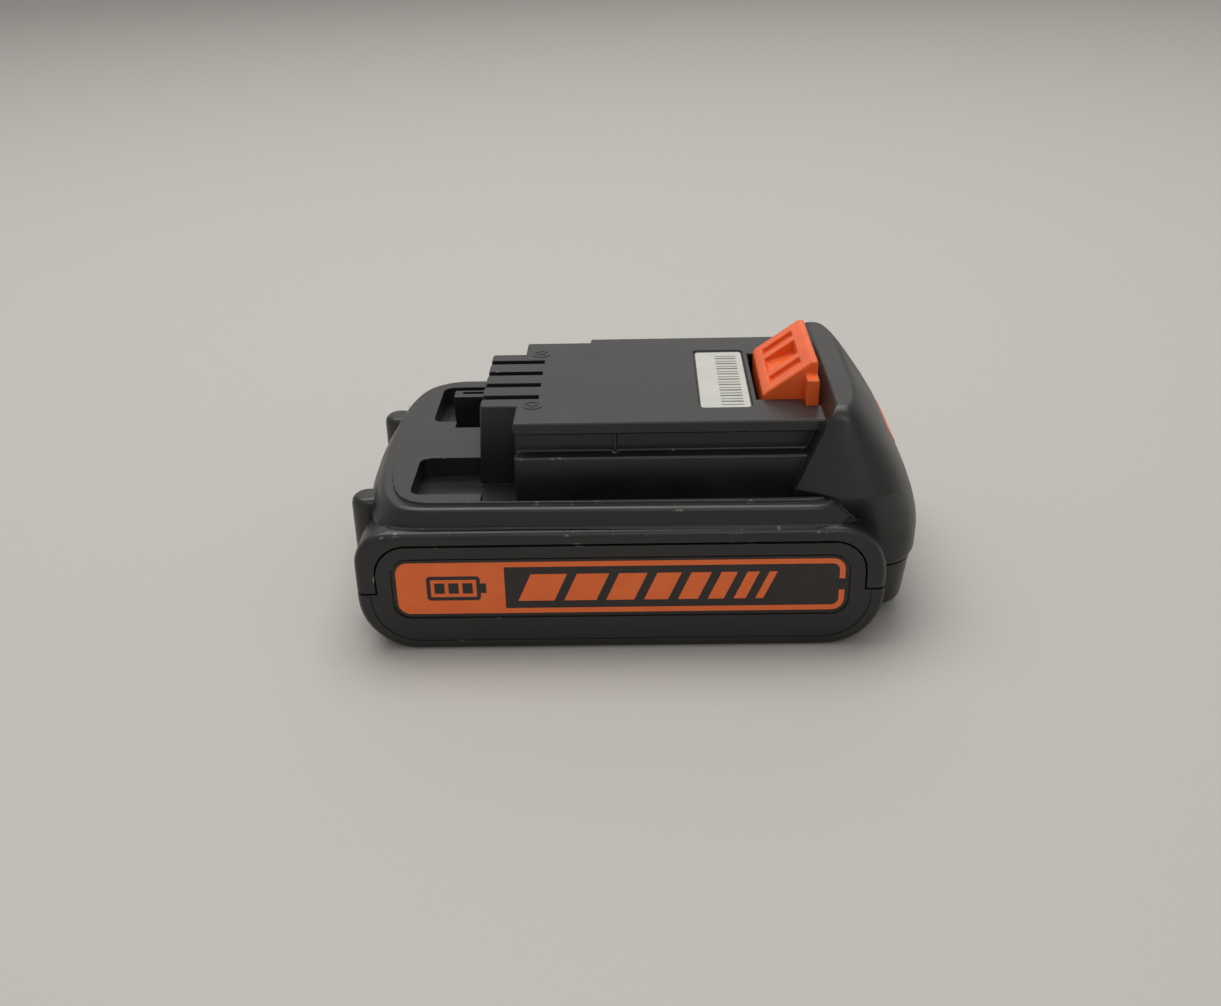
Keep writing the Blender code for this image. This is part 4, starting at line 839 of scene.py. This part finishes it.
def topHousing(common):
    top = cheekForm()
    boolean(top, "UNION", common.deck)
    for side, inner in ((-1, shell.troughInner), (1, shell.pitInner)):
        boolean(top, "DIFFERENCE", *troughCutters(side, inner))
    above = shell.plateTop + shell.sink
    pit = box("pitCutter", (shell.pitStep, shell.pitStepInner, shell.troughZ),
              (shell.slotEnd, shell.troughOuter - shell.sink, shell.deck + shell.sink))
    boolean(top, "DIFFERENCE", pit)
    rail = prism("railForm", "X", railOutline(), shell.plateFront, shell.humpCrest, shell.railEdge)
    tower = prism("towerForm", "Y", towerOutline(), -shell.towerHalf, shell.towerHalf, shell.railEdge)
    boolean(top, "UNION", common.hump, rail, tower, *common.bosses)
    for side in (-1, 1):
        wall = side * shell.channelHalf
        rib = box("stopRib", (shell.stopRibX, wall - shell.sink, shell.shelf - shell.sink),
                  (shell.stopRibX + shell.stopRib, wall + shell.sink, shell.flangeZ + shell.sink))
        boolean(top, "UNION", rib)
    notch = box("keyNotch", (shell.plateFront - shell.sink, shell.channelHalf, shell.flangeZ - shell.fit),
                (shell.keyNotchEnd, shell.plateHalf + shell.sink, above))
    boolean(top, "DIFFERENCE", notch, common.cellBay)
    boolean(top, "UNION", *common.columns)
    below = shell.ceiling - shell.sink
    roomHalf = shell.towerHalf - shell.towerWall
    contactBay = box("contactBay", (shell.towerFront + shell.towerWall, -roomHalf, below),
                     (shell.wellFront - shell.towerWall, roomHalf, shell.roof))
    well = box("latchWell", (shell.wellFront, -shell.wellHalf, below),
               (shell.windowBack + shell.slide, shell.wellHalf, shell.roof))
    window = prism("latchWindow", "Z", windowOutline(), shell.roof - shell.sink, shell.humpTop + shell.sink)
    pressHalf = shell.buttonHalf + shell.slide
    press = roundRect(-pressHalf, shell.buttonBottom - shell.slide, pressHalf,
                      shell.buttonTop + shell.slide, shell.buttonCorner, shell.pressSteps)
    buttonHole = prism("buttonHole", "X", press, shell.humpShoulder, shell.bulgeReach)
    boolean(top, "DIFFERENCE", contactBay, well, window, common.latchBay, buttonHole)
    slotFront = shell.towerFront - shell.towerLean - shell.sink
    for index in range(shell.contactCount):
        y = (index - (shell.contactCount - 1) / 2) * shell.contactPitch
        slot = box("slot", (slotFront, y - shell.slotWidth / 2, shell.plateTop - shell.slotDepth),
                   (shell.slotEnd, y + shell.slotWidth / 2, above))
        boolean(top, "DIFFERENCE", slot)
    boolean(top, "DIFFERENCE", stickerRecess(), keyHole(), *common.screwHoles, lowerRegion(shell.seam / 2))
    return top


def bottomHousing(common):
    bottom = cheekForm()
    boolean(bottom, "UNION", common.deck, common.hump, *common.bosses)
    boolean(bottom, "DIFFERENCE", common.cellBay, common.latchBay)
    boolean(bottom, "UNION", *common.columns)
    boolean(bottom, "DIFFERENCE", labelRecess(), *common.screwHoles)
    for side in (-1, 1):
        depth = sorted(side * (shell.halfWidth + reach) for reach in (-shell.rimGrooveDepth, shell.sink))
        boolean(bottom, "DIFFERENCE", prism("rimGroove", "Y", rimGrooveOutline(), *depth))
    boolean(bottom, "INTERSECT", lowerRegion(-shell.seam / 2))
    post = box("springPost", (shell.springX - shell.seatHalf, -shell.seatHalf, shell.floor - shell.sink),
               (shell.springX + shell.seatHalf, shell.seatHalf, shell.seatTop))
    boolean(bottom, "UNION", post)
    return bottom


# press face of the latch: it ends lower than the solid's and lies flush with the slope round it
pressFace = {
    "armX": 54.0 * mm,  # where the arm starts to thin out towards the press face
    "armTop": 38.4 * mm,
    "thin": 57.2 * mm,
    "proud": 0.1 * mm,  # press face beyond the rear slope
    "steps": 5,
}


def trimLatch(look):
    latch = makeCutter("latchForm", frame["nodes"]["release_latch"].data.copy())
    drop = shell.buttonTop - shell.buttonBottom
    heights = [shell.buttonTop - drop * step / look["steps"] for step in range(look["steps"] + 1)]
    reach = shell.bulgeReach + shell.sink
    outline = [(look["armX"], look["armTop"]), (look["thin"], shell.buttonTop)]
    outline += [(slopeX(height) + look["proud"], height) for height in heights]
    outline += [(reach, shell.buttonBottom), (reach, shell.humpTop), (look["armX"], shell.humpTop)]
    boolean(latch, "DIFFERENCE", prism("latchSpare", "Y", outline, -shell.halfWidth, shell.halfWidth))
    return latch


def bakeForms(forms):
    graph = bpy.context.evaluated_depsgraph_get()
    baked = {}
    for node, form in forms.items():
        baked[node] = bmesh.new()
        baked[node].from_object(form, graph)
        fixOrder(baked[node])
        loose = [edge for edge in baked[node].edges if len(edge.link_faces) != 2]
        print(node, len(baked[node].faces), "faces,", len(loose), "open edges")
    for form in list(cutters.objects):
        bpy.data.objects.remove(form)
    bpy.data.collections.remove(cutters)
    return baked


common = commonForms()
shapes = bakeForms({
    "top_housing": topHousing(common),
    "bottom_housing": bottomHousing(common),
    "release_latch": trimLatch(pressFace),
})
print("housings formed")

# mouldings: the forms with their edges rounded as a mould leaves them
mouldings = {
    "top_housing": {"edge": 0.25 * mm, "steps": 2, "look": nylon, "body": "pack",
                    "slot": "black_moulding"},
    "bottom_housing": {"edge": 0.12 * mm, "steps": 2, "look": nylon, "body": "pack",
                       "slot": "black_moulding"},
    "sense_connector": {"edge": 0.2 * mm, "steps": 2, "look": nylon, "body": "pack",
                        "slot": "black_moulding"},
    "release_latch": {"edge": 0.25 * mm, "steps": 3, "look": acetal, "body": "latch",
                      "slot": "orange_moulding"},
}
rounding = {
    "merge": 0.002 * mm,
    "flat": 1.2,  # degrees, below which faces become one
    "sliver": 0.06 * mm,  # closed up, so that the rounding doesn't fold over
    "sharp": 28,  # degrees, above which an edge is rounded
    "close": 0.001 * mm,
    "smooth": 40,  # degrees
    "weight": 100,
}


def makeMoulding(node, look, work):
    bm = shapes.get(node)
    if bm is None:
        bm = bmesh.new()
        bm.from_mesh(frame["nodes"][node].data)
    bmesh.ops.remove_doubles(bm, verts=bm.verts[:], dist=work["merge"])
    bmesh.ops.dissolve_limit(bm, angle_limit=math.radians(work["flat"]), verts=bm.verts[:], edges=bm.edges[:])
    bmesh.ops.remove_doubles(bm, verts=bm.verts[:], dist=work["sliver"])
    wear = bm.faces.layers.float.new("edgeWear")
    limit = math.radians(work["sharp"])
    sharp = [e for e in bm.edges if len(e.link_faces) == 2 and e.calc_face_angle() > limit]
    made = bmesh.ops.bevel(bm, geom=sharp, offset=look["edge"], offset_type="OFFSET", affect="EDGES",
                           segments=look["steps"], profile=0.5, material=-1, clamp_overlap=False)
    for face in made["faces"]:
        face[wear] = 1.0
    low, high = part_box(node)
    for vert in bm.verts:  # a rounded corner may not reach past the solid
        vert.co = [min(max(value, least), most) for value, least, most in zip(vert.co, low, high)]
    bmesh.ops.remove_doubles(bm, verts=bm.verts[:], dist=work["close"])
    piece = addPiece(node + "_moulding", bm, [look["look"]], look["body"])
    piece.data.shade_smooth()
    piece.data.set_sharp_from_angle(angle=math.radians(work["smooth"]))
    weighted = piece.modifiers.new("face-weighted normals", "WEIGHTED_NORMAL")
    weighted.keep_sharp = True
    weighted.weight = work["weight"]
    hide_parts(node)


for nodeName, spec in mouldings.items():
    makeMoulding(nodeName, spec, rounding)
print("mouldings rounded")

# plates: thin flat shapes for prints and signs
plates = {
    "cornerSteps": 6,
    "roundShare": 0.98,  # corner radius of a round plate, as a share of half its side
}


def around(u, v, wide, tall):
    return (u - wide / 2, v - tall / 2), (u + wide / 2, v + tall / 2)


def addPlate(bm, turn, low, high, start, thick, radius=0.0, line=0.0, slant=0.0, ink=0):
    # a flat plate, or a frame of one line, between two corners of a face; turn lays the face out in space
    before = set(bm.faces)
    span = Vector(high) - Vector(low)
    middle = (Vector(high) + Vector(low)) / 2
    corners = bmesh.ops.create_grid(bm, x_segments=1, y_segments=1, size=0.5)["verts"]
    for corner in corners:
        lean = slant * corner.co.y
        corner.co = (corner.co.x * span.x + middle.x + lean, corner.co.y * span.y + middle.y, start)
    if radius:
        bmesh.ops.bevel(bm, geom=corners, offset=radius, offset_type="OFFSET", affect="VERTICES",
                        segments=plates["cornerSteps"], profile=0.5, material=-1)
    faces = [face for face in bm.faces if face not in before]
    if line:
        bmesh.ops.inset_region(bm, faces=faces, use_boundary=True, use_even_offset=True, thickness=line)
        bmesh.ops.delete(bm, geom=faces, context="FACES")
        faces = [face for face in bm.faces if face not in before]
    grown = bmesh.ops.extrude_face_region(bm, geom=faces, use_keep_orig=True)["geom"]
    moved = [item for item in grown if isinstance(item, bmesh.types.BMVert)]
    bmesh.ops.translate(bm, verts=moved, vec=(0.0, 0.0, thick))
    made = [face for face in bm.faces if face not in before]
    bmesh.ops.recalc_face_normals(bm, faces=made)
    for face in made:
        face.material_index = ink
    bmesh.ops.transform(bm, matrix=turn, verts=list({vert for face in made for vert in face.verts}))


# side label: dark film with an orange frame, a battery sign on a solid block, and slanted bars
sideLabel = {
    "corner": 3.2 * mm,
    "ink": 0.02 * mm,  # how far the print stands off the film
    "inkLow": 0.016 * mm,  # where one print runs under another
    "frameInset": 0.6 * mm,
    "frameLine": 1.15 * mm,
    "frameCorner": 2.6 * mm,
    "block": 21.0 * mm,
    "sign": (11.0 * mm, 5.6 * mm),
    "signTip": (1.2 * mm, 2.24 * mm),
    "signLine": 0.8 * mm,
    "signBars": 3,
    "bars": 8,
    "barHeight": 6.2 * mm,
    "barWide": 7.4 * mm,
    "barNarrow": 1.6 * mm,
    "barGap": 2.0 * mm,
    "slant": 0.45,
    "notch": 1.35 * mm,
    "notchInset": 1.2 * mm,  # notch's middle from the film's rear end
    "peg": 0.7 * mm,
    "pegRise": 0.12 * mm,
}


def makeSideLabel(look):
    low, high = (Vector(corner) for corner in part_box("side_label_near"))
    thick = high.y - low.y
    ink = look["ink"]
    over = thick + ink
    turn = Matrix.Translation((0.0, high.y, 0.0)) @ Matrix.Rotation(math.radians(90), 4, "X")
    bm = bmesh.new()
    addPlate(bm, turn, (low.x, low.z), (high.x, high.z), 0.0, thick, look["corner"])
    inset, edge = look["frameInset"], look["frameLine"]
    left, right, foot, top = low.x + inset, high.x - inset, low.z + inset, high.z - inset
    middleZ = (foot + top) / 2
    addPlate(bm, turn, (left, foot), (right, top), thick, ink, look["frameCorner"], line=edge, ink=1)
    # block with the battery sign
    blockEnd = left + edge + look["block"]
    addPlate(bm, turn, (left + edge, foot + edge), (blockEnd, top - edge), thick, look["inkLow"], ink=1)
    wide, tall = look["sign"]
    line = look["signLine"]
    middleX = blockEnd - look["block"] / 2
    addPlate(bm, turn, *around(middleX, middleZ, wide, tall), over, ink, line, line=line)
    tipWide, tipTall = look["signTip"]
    tipX = middleX + (wide + tipWide) / 2
    addPlate(bm, turn, *around(tipX, middleZ, tipWide, tipTall), over, ink)
    pitch = (wide - 3 * line) / look["signBars"]
    for index in range(look["signBars"]):
        barX = middleX - wide / 2 + 2 * line + pitch * index + (pitch - line) / 2
        addPlate(bm, turn, *around(barX, middleZ, pitch - line, tall - 4 * line), over, ink)
    # slanted bars, wide to narrow
    place = blockEnd + 2 * look["barGap"]
    for index in range(look["bars"]):
        share = index / (look["bars"] - 1)
        width = look["barWide"] + (look["barNarrow"] - look["barWide"]) * share
        addPlate(bm, turn, *around(place + width / 2, middleZ, width, look["barHeight"]), thick, ink,
                 slant=look["slant"] * look["barHeight"], ink=1)
        place += width + look["barGap"]
    # notch in the frame, with a peg in it
    notchX = high.x - look["notchInset"]
    for reach, rise in ((look["notch"], ink), (look["peg"], look["pegRise"])):
        addPlate(bm, turn, *around(notchX, middleZ, 2 * reach, 2 * reach), over, rise,
                 reach * plates["roundShare"])
    addPlate(bm, turn, (notchX, middleZ - look["peg"]), (high.x, middleZ + look["peg"]), over, look["inkLow"])
    piece = addPiece("side_label_print", bm, [darkFilm, orangeInk], "pack")
    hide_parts("side_label_near")


# sticker: white film with a plain pattern of grey bars
plateSticker = {
    "corner": 0.8 * mm,
    "ink": 0.01 * mm,
    "bars": 19,
    "barShares": (0.28, 0.45),  # of the bars' spacing, in turn
    "start": 0.42,  # share of the length left bare before the bars
    "margin": 1.3 * mm,
}


def makePlateSticker(look):
    low, high = (Vector(corner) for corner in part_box("serial_sticker"))
    thick = high.z - low.z
    turn = Matrix.Translation((0.0, 0.0, low.z))
    bm = bmesh.new()
    addPlate(bm, turn, (low.x, low.y), (high.x, high.y), 0.0, thick, look["corner"])
    left, right = low.x + (high.x - low.x) * look["start"], high.x - look["margin"]
    near, far = low.y + look["margin"], high.y - look["margin"]
    pitch = (far - near) / look["bars"]
    for index in range(look["bars"]):
        y = near + pitch * index
        width = pitch * look["barShares"][index % 2]
        addPlate(bm, turn, (left, y), (right, y + width), thick, look["ink"], ink=1)
    piece = addPiece("plate_sticker_print", bm, [whiteFilm, greyInk], "pack")
    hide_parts("serial_sticker")


makeSideLabel(sideLabel)
makePlateSticker(plateSticker)
print("labels printed")

# polarity signs: strokes in a ring on the plate beside the outer slots, a plus on the near side
polarity = {
    "x": -17.8 * mm,
    "side": 15.4 * mm,
    "ring": 2.1 * mm,
    "stroke": 0.5 * mm,
    "length": 2.2 * mm,
    "height": 0.15 * mm,
    "sunk": 0.05 * mm,
}


def makePolarity(look):
    turn = Matrix.Translation((0.0, 0.0, shell.plateTop - look["sunk"]))
    x, height, stroke, ring = look["x"], look["height"], look["stroke"], look["ring"]
    bm = bmesh.new()
    for y in (-look["side"], look["side"]):
        addPlate(bm, turn, *around(x, y, look["length"], stroke), 0.0, height)
        addPlate(bm, turn, *around(x, y, 2 * ring, 2 * ring), 0.0, height, ring * plates["roundShare"],
                 line=stroke)
    arm = (look["length"] - stroke) / 2
    for way in (-1, 1):
        y = way * (stroke + arm) / 2 - look["side"]
        addPlate(bm, turn, *around(x, y, stroke, arm), 0.0, height)
    piece = addPiece("polarity_signs", bm, [darkFilm], "pack")


makePolarity(polarity)
print("signs moulded")


def makeLatchSpring():
    bm = bmesh.new()
    bm.from_mesh(frame["nodes"]["latch_spring"].data)
    bmesh.ops.remove_doubles(bm, verts=bm.verts[:], dist=rounding["merge"])
    piece = addPiece("latch_spring_coil", bm, [finishes["spring_steel"]], "pack")
    piece.data.shade_smooth()
    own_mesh(piece)
    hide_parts("latch_spring")


makeLatchSpring()
print("spring set")
